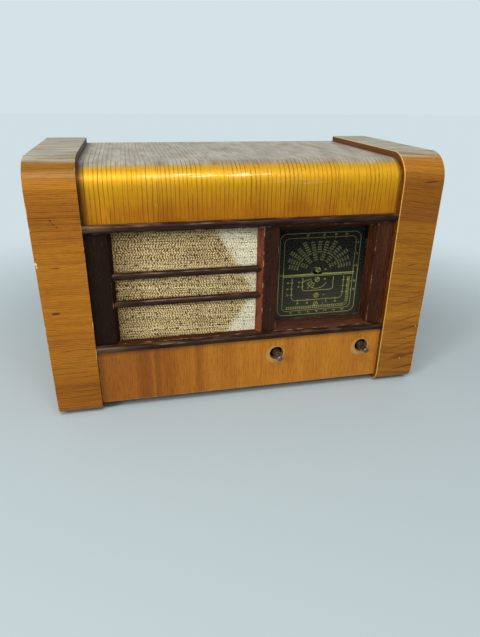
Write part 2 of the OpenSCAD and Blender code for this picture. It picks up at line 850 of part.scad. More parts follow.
// Folded sheet-metal tray, open underneath and cut out behind the socket strip
module chassis() {
    t = chassis_t;
    color("lightsteelblue") place() difference() {
        block(chassis_x, chassis_x1, chassis_y, chassis_y1, base_top, deck_z);
        block(chassis_x + t, chassis_x1 - t, chassis_y + t, chassis_y1 - t, base_top + t, deck_z - t);
        block(chassis_x + flange_w * 2, chassis_x1 - flange_w * 2, chassis_y + t + flange_w,
              chassis_y1 - t - flange_w, base_top - over, base_top + 2 * t);
        at_chassis_bolts() post_z(bolt_d / 2 + bolt_gap, base_top - over, base_top + t + over, 0, 0);
        bar_y(bush_outer_r, chassis_y - over, chassis_y + t + over, volume_x, spindle_z);
        bar_y(bush_outer_r, chassis_y - over, chassis_y + t + over, tuning_x, spindle_z);
        block(strip_x - socket_cut, strip_x + socket_cut, chassis_y1 - t - flange_w - over,
              chassis_y1 + over, base_top - over, strip_z + socket_tube_r + bolt_gap);
        bar_y(grommet_neck_r, chassis_y1 - t - over, chassis_y1 + over, grommet_x, strip_z);
        for (p = valve_at)
            post_z(base_r - pin_ring, deck_z - t - over, deck_z + over, chassis_x + p[0], chassis_y + p[1]);
        post_z(smooth_neck_r + seat, deck_z - t - over, deck_z + over,
               chassis_x + smooth_at[0], chassis_y + smooth_at[1]);
    }
}

module chassis_bolts() {
    color("silver") place() at_chassis_bolts() {
        post_z(bolt_d / 2, skirt_gap - bolt_head_h, base_top + chassis_t + nut_h + 1, 0, 0);
        post_z(bolt_d, skirt_gap - bolt_head_h, skirt_gap, 0, 0);
        post_z(bolt_d * 0.9, base_top + chassis_t, base_top + chassis_t + nut_h, 0, 0);
    }
}

// Bench that lifts the tuning capacitor to the dial's height
module gang_bracket() {
    t = 2;
    foot_w = 7;
    x0 = dial_x - gang_half;
    x1 = dial_x + gang_half;
    y1 = gang_y + gang_len;
    color("lightsteelblue") place() {
        block(x0, x1, gang_y, y1, gang_z0 - t, gang_z0);
        for (x = [x0, x1 - t])
            block(x, x + t, gang_y, y1, deck_z, gang_z0 - t);
        block(x0 - foot_w, x0, gang_y, y1, deck_z, deck_z + t);
        block(x1, x1 + foot_w, gang_y, y1, deck_z, deck_z + t);
    }
}

// Frame of the two-gang variable capacitor, with the shaft's two bearings
module gang_frame() {
    bearing_r = shaft_r + 3;
    bearing_h = 1.5;
    x0 = dial_x - gang_half;
    x1 = dial_x + gang_half;
    y1 = gang_y + gang_len;
    color("silver") place() difference() {
        union() {
            block(x0, x1, gang_y, y1, gang_z0, gang_z0 + plate_t);
            for (y = [gang_y, y1 - plate_t])
                block(x0, x1, y, y + plate_t, gang_z0, dial_z + gang_half);
            bar_y(bearing_r, gang_y - bearing_h, gang_y + plate_t, dial_x, dial_z);
            bar_y(bearing_r, y1 - plate_t, y1 + bearing_h, dial_x, dial_z);
        }
        bar_y(shaft_r + run_gap, gang_y - bearing_h - over, y1 + bearing_h + over, dial_x, dial_z);
    }
}

// Fixed vanes, on the right of the shaft, held by two insulating bars
module gang_stator() {
    hub_side = 2;
    rod = 2;
    rod_z = 3;
    rod_bite = 0.6;
    color("gainsboro") place() {
        for (y0 = section_y)
            for (k = [0:vane_count - 1]) {
                y = y0 + (k + 0.5) * vane_pitch;
                difference() {
                    intersection() {
                        bar_y(stator_out_r, y, y + vane_t, dial_x, dial_z);
                        block(dial_x + hub_side, dial_x + stator_out_r, y - over, y + over * 2,
                              dial_z - stator_out_r, dial_z + stator_out_r);
                    }
                    bar_y(stator_in_r, y - over, y + over * 2, dial_x, dial_z);
                }
            }
        for (z = [dial_z - rod_z - rod, dial_z + rod_z])
            block(dial_x + stator_out_r - rod_bite, dial_x + gang_half, gang_y + plate_t,
                  gang_y + gang_len - plate_t, z, z + rod);
    }
}

// Shaft and moving vanes; in the rest position they lie between the fixed ones
module gang_rotor() {
    color("silver") place() {
        bar_y(shaft_r, pointer_y + pointer_hub_h, gang_y + gang_len + control_tail, dial_x, dial_z);
        for (y0 = section_y) {
            bar_y(vane_hub_r, y0 - over, y0 + section_len, dial_x, dial_z);
            for (k = [0:vane_count - 1]) {
                y = y0 + k * vane_pitch;
                intersection() {
                    bar_y(vane_r, y, y + vane_t, dial_x, dial_z);
                    block(dial_x, dial_x + vane_r, y - over, y + over * 2, dial_z - vane_r, dial_z + vane_r);
                }
            }
        }
    }
}

// Grooved drum on the capacitor's shaft
module drive_drum() {
    groove_r = drum_r - cord_r - run_gap;
    groove_half = 0.9;
    lip = 1.5;
    rim_out = drum_r + lip;
    hub_r = shaft_r + 4;
    hub_over = 3;
    web_t = 1.5;
    lighten_r = (drum_r - drum_rim - hub_r) / 4;
    lighten_at = hub_r + lighten_r * 2;
    color("silver") place() translate([dial_x, drum_y, dial_z]) rotate([-90, 0, 0]) difference() {
        union() {
            translate([0, 0, -drum_w / 2]) cylinder(r = rim_out, h = drum_w);
            translate([0, 0, -drum_w / 2]) cylinder(r = hub_r, h = drum_w + hub_over);
        }
        for (s = [-1, 1])
            translate([0, 0, s * (drum_w / 2 + web_t / 2) - drum_w / 2]) difference() {
                cylinder(r = drum_r - drum_rim, h = drum_w);
                translate([0, 0, -over]) cylinder(r = hub_r, h = drum_w + 2 * over);
            }
        translate([0, 0, -drum_w / 2 - over]) cylinder(r = shaft_r, h = drum_w + hub_over + 2 * over);
        for (a = [45:90:315])
            rotate([0, 0, a]) translate([lighten_at, 0, -drum_w]) cylinder(r = lighten_r, h = drum_w * 2);
        rotate_extrude() polygon([[groove_r, -groove_half], [groove_r, groove_half],
                                  [rim_out + over, groove_half + lip], [rim_out + over, -groove_half - lip]]);
    }
}

// Endless cord round the drum and the tuning sleeve: angles run in x-z, from +x towards +z
module drive_cord() {
    dx = tuning_x - dial_x;
    dz = spindle_z - dial_z;
    span = sqrt(dx * dx + dz * dz);
    dir = atan2(dz, dx);
    lean = asin((drum_r - sleeve_cord_r) / span);
    drum_steps = 46;
    sleeve_steps = 10;
    sides = 6;
    drum_arc = 180 + 2 * lean;
    sleeve_arc = 180 - 2 * lean;
    turns = concat(
        [for (k = [0:drum_steps]) [0, 0, drum_r, dir + 90 - lean + drum_arc * k / drum_steps]],
        [for (k = [0:sleeve_steps])
            [dx, dz, sleeve_cord_r, dir - 90 + lean + sleeve_arc * k / sleeve_steps]]);
    n = len(turns);
    rings = [for (t = turns) for (k = [0:sides - 1])
        let (r = t[2] + cord_r * cos(360 * k / sides))
            [dial_x + t[0] + r * cos(t[3]), drum_y + cord_r * sin(360 * k / sides),
             dial_z + t[1] + r * sin(t[3])]];
    color("wheat") place() polyhedron(points = rings, faces = [
        for (i = [0:n - 1]) for (k = [0:sides - 1])
            let (a = i * sides, b = (i + 1) % n * sides, m = (k + 1) % sides)
                each [[a + k, b + k, b + m], [a + k, b + m, a + m]]]);
}

// Solid inner spindle, with a groove behind its knob's seat
module inner_spindle(x, y1) {
    bar_y(shaft_r, -spindle_out, -sleeve_out - groove_w, x, spindle_z);
    bar_y(shaft_r - groove_d, -sleeve_out - groove_w, -sleeve_out, x, spindle_z);
    bar_y(shaft_r, -sleeve_out, y1, x, spindle_z);
}

// Hollow outer spindle, with a groove behind its knob's seat
bush_outer_r = sleeve_r + run_gap + bush_wall;
module hollow_spindle(x, y1) {
    seat_end = set_back - seat;
    difference() {
        union() {
            bar_y(sleeve_r, -sleeve_out, seat_end, x, spindle_z);
            bar_y(sleeve_r - groove_d, seat_end, seat_end + groove_w, x, spindle_z);
            bar_y(sleeve_r, seat_end + groove_w, y1, x, spindle_z);
        }
        bar_y(shaft_r + run_gap, -sleeve_out - over, y1 + over, x, spindle_z);
    }
}

tuning_sleeve_end = chassis_y + bush_len;
module tuning_sleeve() {
    collar_r = sleeve_r + 1.2;
    collar_h = 1.6;
    color("darkgray") place() difference() {
        union() {
            hollow_spindle(tuning_x, tuning_sleeve_end);
            bar_y(collar_r, tuning_sleeve_end - collar_h, tuning_sleeve_end, tuning_x, spindle_z);
        }
        bar_y(shaft_r + run_gap, tuning_sleeve_end - collar_h - over, tuning_sleeve_end + over,
              tuning_x, spindle_z);
    }
}

// Threaded bearing of the tuning sleeve, with its nut behind the chassis front
bush_r = bush_outer_r - run_gap;
bush_flange_r = bush_outer_r + 2;
bush_flange_h = 2;
bush_nut_r = bush_outer_r + 2.5;
bush_nut_h = 3;
module tuning_bush() {
    bush_end = tuning_sleeve_end - bush_flange_h;
    color("gold") place() difference() {
        union() {
            bar_y(bush_r, chassis_y - bush_nut_h, bush_end, tuning_x, spindle_z);
            bar_y(bush_flange_r, chassis_y - bush_flange_h, chassis_y, tuning_x, spindle_z);
            bar_y(bush_nut_r, chassis_y + chassis_t, chassis_y + chassis_t + bush_nut_h, tuning_x, spindle_z);
        }
        bar_y(sleeve_r + run_gap, chassis_y - bush_nut_h - over, bush_end + over, tuning_x, spindle_z);
    }
}

// Inner right spindle with the rotor of the wave-change switch
module wave_spindle() {
    color("darkgray") place() {
        inner_spindle(tuning_x, wafer_y + wafer_t + control_tail);
        bar_y(wafer_hub_r, wafer_y, wafer_y + wafer_t, tuning_x, spindle_z);
    }
}

// Fixed parts of the wave-change switch, hung from the deck by its front plate
module wave_switch() {
    bush_out = 2;
    pillar_r = 2;
    pillar_x = 12;
    wafer_gap = 0.3;
    color("peru") place() difference() {
        union() {
            block(tuning_x - switch_plate_half, tuning_x + switch_plate_half, switch_plate_y,
                  switch_plate_y + wafer_t, spindle_z - switch_plate_half, deck_z - chassis_t);
            bar_y(shaft_r + run_gap + bush_wall, switch_plate_y - bush_out, switch_plate_y + wafer_t,
                  tuning_x, spindle_z);
            difference() {
                bar_y(wafer_r, wafer_y, wafer_y + wafer_t, tuning_x, spindle_z);
                bar_y(wafer_hub_r + wafer_gap, wafer_y - over, wafer_y + wafer_t + over, tuning_x, spindle_z);
            }
            for (s = [-1, 1])
                bar_y(pillar_r, switch_plate_y + wafer_t, wafer_y, tuning_x + s * pillar_x, spindle_z);
        }
        bar_y(shaft_r + run_gap, switch_plate_y - bush_out - over, wafer_y - over, tuning_x, spindle_z);
    }
}

// Double rotary control: bush, nut and a can with two tracks
pot_y = chassis_y + chassis_t;
pot_wall = 1.2;
pot_mid = pot_y + pot_len / 2;
wiper_r = pot_r - 4;
wiper_t = 2;
module tone_volume_control() {
    bush_out = 8;
    mains_switch_r = pot_r * 0.7;
    mains_switch_h = 9;
    color("dimgray") place() difference() {
        union() {
            bar_y(pot_r, pot_y, pot_y + pot_len, volume_x, spindle_z);
            bar_y(bush_r, pot_y - bush_out, pot_y, volume_x, spindle_z);
            bar_y(bush_nut_r, chassis_y - bush_nut_h, chassis_y, volume_x, spindle_z);
            bar_y(mains_switch_r, pot_y + pot_len, pot_y + pot_len + mains_switch_h, volume_x, spindle_z);
        }
        bar_y(sleeve_r + run_gap, pot_y - bush_out - over, pot_y + pot_wall + over, volume_x, spindle_z);
        bar_y(pot_r - pot_wall, pot_y + pot_wall, pot_mid - pot_wall / 2, volume_x, spindle_z);
        bar_y(pot_r - pot_wall, pot_mid + pot_wall / 2, pot_y + pot_len - pot_wall, volume_x, spindle_z);
        bar_y(shaft_r + run_gap, pot_y, pot_mid + over, volume_x, spindle_z);
    }
}

// Inner left spindle with the volume control's wiper disc
module volume_spindle() {
    disc_y = (pot_mid + pot_y + pot_len) / 2;
    color("darkgray") place() {
        inner_spindle(volume_x, disc_y + wiper_t / 2);
        bar_y(wiper_r, disc_y - wiper_t / 2, disc_y + wiper_t / 2, volume_x, spindle_z);
    }
}

// Outer left spindle with the tone control's wiper disc
module tone_sleeve() {
    disc_y = pot_y + pot_len / 4;
    color("darkgray") place() difference() {
        union() {
            hollow_spindle(volume_x, disc_y + wiper_t / 2);
            bar_y(wiper_r, disc_y - wiper_t / 2, disc_y + wiper_t / 2, volume_x, spindle_z);
        }
        bar_y(shaft_r + run_gap, disc_y - wiper_t, disc_y + wiper_t, volume_x, spindle_z);
    }
}

module at_valves() {
    for (p = valve_at) translate([chassis_x + p[0], chassis_y + p[1], deck_z]) children();
}

module valve_sockets() {
    wall = 1.5;
    flange_r = base_r + 2 * wall;
    flange_h = 3;
    color("saddlebrown") place() at_valves() difference() {
        union() {
            cylinder(r = flange_r, h = flange_h);
            cylinder(r = base_r + wall, h = socket_h);
        }
        translate([0, 0, socket_floor]) cylinder(r = base_r + seat, h = socket_h);
    }
}

module valve_bases() {
    color("black") place() at_valves() translate([0, 0, socket_floor]) cylinder(r = base_r, h = base_h);
}

// Glass bulb: a waist above the base, a full body and a narrower dome
module valve_bulbs() {
    z0 = base_h + socket_floor;
    z1 = valve_h - cap_h;
    neck = base_r - 1;
    dome = valve_r * 0.55;
    swell_h = 16;
    body_h = 14;
    shoulder_h = 12;
    body_z1 = z0 + swell_h + body_h;
    color("lightgray", 0.5) place() at_valves() rotate_extrude() {
        polygon([[0, z0], [neck, z0], [valve_r, z0 + swell_h], [valve_r, body_z1],
                 [dome, body_z1 + shoulder_h], [dome, z1 - dome], [0, z1 - dome]]);
        translate([0, z1 - dome]) intersection() {
            circle(r = dome);
            square([dome, dome]);
        }
    }
}

// Grid caps on all valves but the rectifier
module valve_caps() {
    color("silver") place()
        for (p = [for (k = [1:len(valve_at) - 1]) valve_at[k]])
            translate([chassis_x + p[0], chassis_y + p[1], deck_z + valve_h - cap_h])
                cylinder(r = cap_r, h = cap_h);
}

module screening_cans() {
    r = 4;
    s = can_side - 2 * r;
    color("silver") place()
        for (p = can_at)
            translate([chassis_x + p[0] - can_side / 2, chassis_y + p[1] - can_side / 2, deck_z])
                linear_extrude(height = can_h) {
                    translate([r, 0]) square([s, can_side]);
                    translate([0, r]) square([can_side, s]);
                    for (x = [r, can_side - r])
                        for (y = [r, can_side - r])
                            translate([x, y]) circle(r = r);
                }
}

module smoothing_capacitor() {
    ring_w = 2;
    ring_h = 3;
    color("silver") place() translate([chassis_x + smooth_at[0], chassis_y + smooth_at[1], deck_z]) {
        cylinder(d = smooth_d, h = smooth_h);
        translate([0, 0, -smooth_neck_r]) cylinder(r = smooth_neck_r, h = smooth_neck_r);
        cylinder(d = smooth_d + 2 * ring_w, h = ring_h);
    }
}

// Aerial coils on a waxed tube
module aerial_coil() {
    tube_r = 9;
    tube_h = 50;
    tube_wall = 1.5;
    coil_h = 6;
    color("chocolate") place() translate([chassis_x + coil_at[0], chassis_y + coil_at[1], deck_z]) {
        difference() {
            cylinder(r = tube_r, h = tube_h);
            translate([0, 0, 2 * tube_wall]) cylinder(r = tube_r - tube_wall, h = tube_h);
        }
        for (z = [12, 26, 38])
            translate([0, 0, z]) difference() {
                cylinder(r = tube_r + 4, h = coil_h);
                translate([0, 0, -over]) cylinder(r = tube_r, h = coil_h + 2 * over);
            }
    }
}

// Board under the deck with resistors and paper capacitors
module component_board() {
    x0 = chassis_x + board_at[0];
    y0 = chassis_y + board_at[1];
    long = 90;
    wide = 44;
    panel_t = 2;
    drop = 14;
    z0 = deck_z - chassis_t - drop;
    pillar_r = 3;
    pillar_in = 4;
    part_r = 3.4;
    part_pitch = 10.5;
    part_len = [30, 22];
    color("darkkhaki") place() {
        block(x0, x0 + long, y0, y0 + wide, z0, z0 + panel_t);
        for (x = [x0 + pillar_in, x0 + long - pillar_in])
            post_z(pillar_r, z0 + panel_t, deck_z - chassis_t, x, y0 + wide / 2);
        for (k = [0:6])
            bar_y(part_r, y0 + part_r * 2, y0 + part_r * 2 + part_len[k % 2],
                  x0 + long / 2 + (k - 3) * part_pitch, z0 - part_r);
    }
}

// Aerial, earth and pick-up sockets on an insulating strip
module rear_socket_strip() {
    tube_y0 = chassis_y1 - socket_len + socket_proud;
    tube_y1 = chassis_y1 + socket_proud;
    color("sienna") place() difference() {
        union() {
            block(strip_x - strip_w / 2, strip_x + strip_w / 2, chassis_y1, chassis_y1 + strip_t,
                  strip_z - strip_h / 2, strip_z + strip_h / 2);
            for (k = [0:3])
                bar_y(socket_tube_r, tube_y0, tube_y1, strip_x + (k - 1.5) * socket_pitch, strip_z);
        }
        for (k = [0:3])
            bar_y(socket_d / 2, tube_y0 - over, tube_y1 + over,
                  strip_x + (k - 1.5) * socket_pitch, strip_z);
    }
}

// Round plug that sets the mains voltage
selector_x = chassis_x + selector_at;
module voltage_selector() {
    plate_r = 14;
    plate_h = 5;
    plug_r = 9;
    plug_h = 6;
    stud_r = 1.6;
    stud_h = 2;
    stud_at = 11.4;
    plate_y = chassis_y1 + plate_h;
    color("black") place() {
        bar_y(plate_r, chassis_y1, plate_y, selector_x, strip_z);
        bar_y(plug_r, plate_y, plate_y + plug_h, selector_x, strip_z);
        for (a = [0:90:270])
            bar_y(stud_r, plate_y, plate_y + stud_h,
                  selector_x + stud_at * cos(a), strip_z + stud_at * sin(a));
    }
}

// Rubber ring where the mains lead would pass through the chassis
grommet_x = chassis_x + grommet_at;
grommet_neck_r = 6.5;
module mains_grommet() {
    lip_r = grommet_neck_r + 2.5;
    lip_h = 2.5;
    lead_r = 3.5;
    inside_y = chassis_y1 - chassis_t;
    color("black") place() difference() {
        union() {
            bar_y(grommet_neck_r - run_gap, inside_y - lip_h, chassis_y1 + lip_h, grommet_x, strip_z);
            bar_y(lip_r, chassis_y1, chassis_y1 + lip_h, grommet_x, strip_z);
            bar_y(lip_r, inside_y - lip_h, inside_y, grommet_x, strip_z);
        }
        bar_y(lead_r, inside_y - lip_h - over, chassis_y1 + lip_h + over, grommet_x, strip_z);
    }
}

// The screws of the back cover, down both sides and along the top
module at_cover_screws() {
    x = side_x - cleat_w / 2;
    margin = 20;
    for (s = [-1, 1])
        for (z = [base_top + margin, (base_top + ceiling_z) / 2, ceiling_z - margin])
            translate([s * x, 0, z]) children();
    translate([0, 0, ceiling_z - cleat_w / 2]) children();
}

module back_cover() {
    rim_gap = 0.5;
    slot_margin = 30;
    slot_rise = 22;
    x1 = side_x - rim_gap;
    z0 = base_top + rim_gap;
    z1 = ceiling_z - rim_gap;
    slot_z0 = deck_z + slot_rise;
    slot_dz = (z1 - slot_margin - slot_z0) / (slot_rows - 1);
    slot_dx = 2 * (x1 - slot_margin - slot_len / 2) / (slot_cols - 1);
    y0 = cover_y - over;
    y1 = cover_y + cover_t + over;
    color("saddlebrown") place() difference() {
        block(-x1, x1, cover_y, cover_y + cover_t, z0, z1);
        block(chassis_x, chassis_x1, y0, y1, base_top + window_edge, deck_z - window_edge);
        for (r = [0:slot_rows - 1])
            for (c = [0:slot_cols - 1])
                translate([c * slot_dx - x1 + slot_margin, 0, slot_z0 + r * slot_dz])
                    block(0, slot_len, y0, y1, -slot_h / 2, slot_h / 2);
        at_cover_screws() bar_y(screw_d / 2 + seat, y0, y1, 0, 0);
    }
}

module cover_screws() {
    color("silver") place() at_cover_screws() {
        bar_y(screw_d / 2, cover_y + cover_t - screw_len, cover_y + cover_t, 0, 0);
        bar_y(screw_head_d / 2, cover_y + cover_t, cover_y + cover_t + screw_head_h, 0, 0);
    }
}

left_cheek();
right_cheek();
top_shell();
lower_fascia();
base_board();
cover_cleats();
front_cleat();
felt_feet();
upper_nosing();
lower_nosing();
left_post();
centre_divider();
right_post();
top_rail();
bottom_rail();
upper_grille_bar();
lower_grille_bar();
speaker_cloth();
speaker_board();
dial_glass();
glass_clips();
dial_tray();
dial_lamps();
dial_pointer();
speaker_basket();
cone_surround();
speaker_cone();
speaker_magnet();
speaker_bolts();
output_transformer();
chassis();
chassis_bolts();
mains_transformer();
transformer_windings();
gang_bracket();
gang_frame();
gang_stator();
gang_rotor();
drive_drum();
drive_cord();
tuning_sleeve();
tuning_bush();
wave_spindle();
wave_switch();
volume_spindle();
tone_sleeve();
tone_volume_control();
valve_sockets();
valve_bases();
valve_bulbs();
valve_caps();
screening_cans();
smoothing_capacitor();
aerial_coil();
component_board();
rear_socket_strip();
voltage_selector();
mains_grommet();
back_cover();
cover_screws();
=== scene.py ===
# Dresses the table radio: veneered cabinet, cloth grille, glass dial, bare spindles and the works inside.
import json
import math

import bmesh
import bpy
from mathutils import Matrix, Vector

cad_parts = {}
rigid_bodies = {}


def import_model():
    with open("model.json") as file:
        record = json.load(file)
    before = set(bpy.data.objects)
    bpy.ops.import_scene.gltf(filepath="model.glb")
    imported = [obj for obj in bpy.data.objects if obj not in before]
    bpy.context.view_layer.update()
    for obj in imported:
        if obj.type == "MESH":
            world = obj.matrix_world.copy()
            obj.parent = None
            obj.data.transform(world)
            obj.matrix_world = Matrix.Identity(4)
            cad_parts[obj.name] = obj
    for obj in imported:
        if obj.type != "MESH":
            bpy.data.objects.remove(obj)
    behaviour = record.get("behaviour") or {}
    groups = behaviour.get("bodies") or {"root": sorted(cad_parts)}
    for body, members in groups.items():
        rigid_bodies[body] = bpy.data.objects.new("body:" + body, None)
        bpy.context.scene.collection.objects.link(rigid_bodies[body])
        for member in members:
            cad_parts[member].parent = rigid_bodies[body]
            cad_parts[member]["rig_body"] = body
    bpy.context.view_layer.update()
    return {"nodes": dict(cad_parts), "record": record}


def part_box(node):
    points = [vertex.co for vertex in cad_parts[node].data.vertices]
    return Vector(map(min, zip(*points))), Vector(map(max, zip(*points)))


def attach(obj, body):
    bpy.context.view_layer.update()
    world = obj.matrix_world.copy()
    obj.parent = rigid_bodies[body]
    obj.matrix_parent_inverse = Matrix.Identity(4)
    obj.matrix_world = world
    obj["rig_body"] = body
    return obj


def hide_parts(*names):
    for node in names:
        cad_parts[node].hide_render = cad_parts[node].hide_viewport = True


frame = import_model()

MM = 0.001

# Cabinet sizes that the boxes of its parts don't give
CHEEK_BAND = 14 * MM
CHEEK_SIDE = 12 * MM
CHEEK_TOP_ROUND = 28 * MM
CHEEK_TOE_ROUND = 14 * MM
BASE_TOP = 19 * MM
SHELL_THICK = 8 * MM
SHELL_ROUND = 22 * MM
HOLE_RADIUS = 7.75 * MM
# Splay of the grille opening: inward run of its left and right sides, and its depth
GRILLE_SPLAY = (3.7 * MM, 6.2 * MM, 5 * MM)
ROUND_STEPS = 20
UPRIGHT = Matrix.Rotation(math.pi / 2, 4, "X")


def middle_of(node):
    low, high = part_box(node)
    return (low + high) / 2


dial_centre = middle_of("dial_pointer")
dial_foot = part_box("dial_pointer")[0].z - 60 * MM
volume_axis = middle_of("volume_spindle")
wave_axis = middle_of("wave_spindle")
cheek_low, cheek_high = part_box("right_cheek")


# Shapes


def push(bm, faces, offset, moved=False):
    """Extrudes faces by offset. They stay as the far end of the solid, unless they are moved."""
    fresh = bmesh.ops.extrude_face_region(bm, geom=faces)["geom"]
    verts = [item for item in fresh if isinstance(item, bmesh.types.BMVert)]
    bmesh.ops.translate(bm, verts=verts, vec=offset)
    if moved:
        bmesh.ops.delete(bm, geom=faces, context="FACES")


def round_corners(bm, verts, rounds, steps=ROUND_STEPS):
    """Rounds the corners of a flat outline that are given by their index and radius."""
    for index, radius in rounds:
        bmesh.ops.bevel(bm, geom=[verts[index]], affect="VERTICES", offset=radius,
                        segments=steps, profile=0.5, material=-1)


def moulding(bm, outline, x0, x1, rounds, steps):
    """A y-z outline with rounded corners, run along x."""
    verts = [bm.verts.new((x0, y, z)) for y, z in outline]
    bm.faces.new(verts)
    round_corners(bm, verts, rounds, steps)
    push(bm, bm.faces[:], (x1 - x0, 0, 0))


def block(bm, low, high):
    size = Vector(high) - Vector(low)
    middle = (Vector(high) + Vector(low)) / 2
    bmesh.ops.create_cube(bm, size=1, matrix=Matrix.LocRotScale(middle, None, size))


def turned(bm, profile, centre, axis="Y", ring=False, steps=40):
    """A lathe-turned shape: profile holds (radius, distance along the axis) pairs."""
    along = Vector((0, 1, 0)) if axis == "Y" else Vector((0, 0, 1))
    verts = [bm.verts.new(Vector(centre) + Vector((radius, 0, 0)) + along * height)
             for radius, height in profile]
    pairs = list(zip(verts, verts[1:]))
    if ring:
        pairs.append((verts[-1], verts[0]))
    edges = [bm.edges.new(pair) for pair in pairs]
    bmesh.ops.spin(bm, geom=verts + edges, cent=centre, axis=along, angle=math.tau,
                   steps=steps, use_merge=True)


def cut(bm, place, normal, away=False):
    """Cuts a mesh along a plane and, with away, takes off what is beyond it."""
    bmesh.ops.bisect_plane(bm, geom=bm.verts[:] + bm.edges[:] + bm.faces[:], plane_co=place,
                           plane_no=normal, clear_outer=away)


def tidy(bm):
    bmesh.ops.remove_doubles(bm, verts=bm.verts, dist=0.001 * MM)
    bmesh.ops.recalc_face_normals(bm, faces=bm.faces)


def ease(bm, width, above=32):
    """Rounds the sharp edges a little and marks the new faces as worn."""
    worn = bm.faces.layers.float.get("worn") or bm.faces.layers.float.new("worn")
    limit = math.radians(above)
    sharp = [edge for edge in bm.edges
             if len(edge.link_faces) == 2 and edge.calc_face_angle(0) > limit]
    made = bmesh.ops.bevel(bm, geom=sharp, affect="EDGES", offset=width, segments=2,
                           profile=0.5, material=-1, loop_slide=False, clamp_overlap=True)
    for face in made["faces"]:
        face[worn] = 1


def likeness(node):
    """A clean copy of a CAD node's mesh, with its flat faces whole."""
    bm = bmesh.new()
    bm.from_mesh(frame["nodes"][node].data)
    bmesh.ops.remove_doubles(bm, verts=bm.verts, dist=0.002 * MM)
    bmesh.ops.dissolve_limit(bm, angle_limit=math.radians(0.5), verts=bm.verts, edges=bm.edges)
    return bm


def islands(node):
    """The low and high corners of each separate solid of a CAD node."""
    bm = likeness(node)
    boxes = []
    left = set(bm.verts)
    while left:
        reached = [left.pop()]
        for vert in reached:
            fresh = [edge.other_vert(vert) for edge in vert.link_edges if edge.other_vert(vert) in left]
            left.difference_update(fresh)
            reached.extend(fresh)
        boxes.append([Vector([limit(vert.co[axis] for vert in reached) for axis in range(3)])
                      for limit in (min, max)])
    bm.free()
    return sorted(boxes, key=lambda corners: tuple(corners[0]))


def mesh_of(name, bm):
    mesh = bpy.data.meshes.new(name)
    bm.to_mesh(mesh)
    bm.free()
    return mesh


def bring(name, data):
    """Puts a mesh, light or camera into the scene."""
    thing = bpy.data.objects.new(name, data)
    bpy.context.collection.objects.link(thing)
    return thing


def piece(name, bm, finish, stands_for=None, above=35, body=None, eased=0):
    """Turns a bmesh into a finished piece that rides on its node's body.

    eased is the width of its rounded edges in millimetres."""
    nodes = [stands_for] if stands_for else []
    tidy(bm)
    if eased:
        ease(bm, eased * MM)
        tidy(bm)
    limit = math.radians(above)
    for face in bm.faces:
        face.smooth = True
    for edge in bm.edges:
        edge.smooth = len(edge.link_faces) == 2 and edge.calc_face_angle(0) < limit
    mesh = mesh_of(name, bm)
    mesh.materials.append(finish)
    thing = bring(name, mesh)
    weighted = thing.modifiers.new("even_shading", "WEIGHTED_NORMAL")
    weighted.keep_sharp = True
    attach(thing, body or frame["nodes"][nodes[0]]["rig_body"])
    if nodes:
        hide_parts(*nodes)
    return thing


def eased_copy(node, ending, finish, width, above=32):
    """A clean copy of a CAD node, with its sharp edges rounded by a width in millimetres."""
    bm = likeness(node)
    ease(bm, width * MM, above=above)
    piece(node + ending, bm, finish, node)


def dress(node, finish):
    """Gives a kept CAD node its material."""
    thing = frame["nodes"][node]
    for material_slot in thing.material_slots:
        material_slot.link = "OBJECT"
        material_slot.material = finish


# Finishes


def tint(red, green, blue):
    """A colour as seen, from 0 to 255, in the renderer's linear values."""
    def linear(value):
        value /= 255
        return value / 12.92 if value <= 0.04045 else ((value + 0.055) / 1.055) ** 2.4
    return (linear(red), linear(green), linear(blue), 1.0)


def maths(operation, *values):
    """A Math node on levels and numbers."""
    nodes = next(value.nodes for value in values if isinstance(value, Level))
    return nodes.level("Math", {"operation": operation}, dict(enumerate(values)))


def operator(operation, swapped=False):
    """A method that turns plain arithmetic into a Math node."""
    def apply(self, other):
        return maths(operation, *((other, self) if swapped else (self, other)))
    return apply


class Level:
    """A socket that varies over a surface, for use in plain arithmetic."""

    def __init__(self, nodes, socket):
        self.nodes = nodes
        self.socket = socket

    __add__, __radd__ = operator("ADD"), operator("ADD", True)
    __sub__, __rsub__ = operator("SUBTRACT"), operator("SUBTRACT", True)
    __mul__, __rmul__ = operator("MULTIPLY"), operator("MULTIPLY", True)
    __truediv__ = operator("DIVIDE")

    def __abs__(self):
        return maths("ABSOLUTE", self)


class Nodes:
    """The node tree of a material or a world, built up from named steps."""

    def __init__(self, owner):
        owner.use_nodes = True
        self.tree = owner.node_tree
        self.tree.nodes.clear()

    def node(self, kind, settings=None, inputs=None):
        """A new node. Inputs are levels, numbers and colours as seen, three values from 0 to 255."""
        node = self.tree.nodes.new("ShaderNode" + kind)
        for key, value in (settings or {}).items():
            if key == "stops":
                self.set_stops(node.color_ramp, value)
            else:
                setattr(node, key, value)
        for key, value in (inputs or {}).items():
            socket = self.pick(node.inputs, key)
            if isinstance(value, Level):
                self.tree.links.new(value.socket, socket)
            else:
                socket.default_value = tint(*value) if isinstance(value, tuple) else value
        return node

    def pick(self, sockets, key):
        usable = [socket for socket in sockets if socket.enabled]
        if isinstance(key, int):
            return usable[key]
        return next(socket for socket in usable if key in (socket.name, socket.identifier))

    def set_stops(self, colours, stops):
        while len(colours.elements) < len(stops):
            colours.elements.new(1)
        for element, (place, colour) in zip(colours.elements, stops):
            element.position = place
            element.color = tint(*colour)

    def out(self, node, key=0):
        return Level(self, self.pick(node.outputs, key))

    def level(self, kind, settings=None, inputs=None):
        """The first output of a new node."""
        return self.out(self.node(kind, settings, inputs))


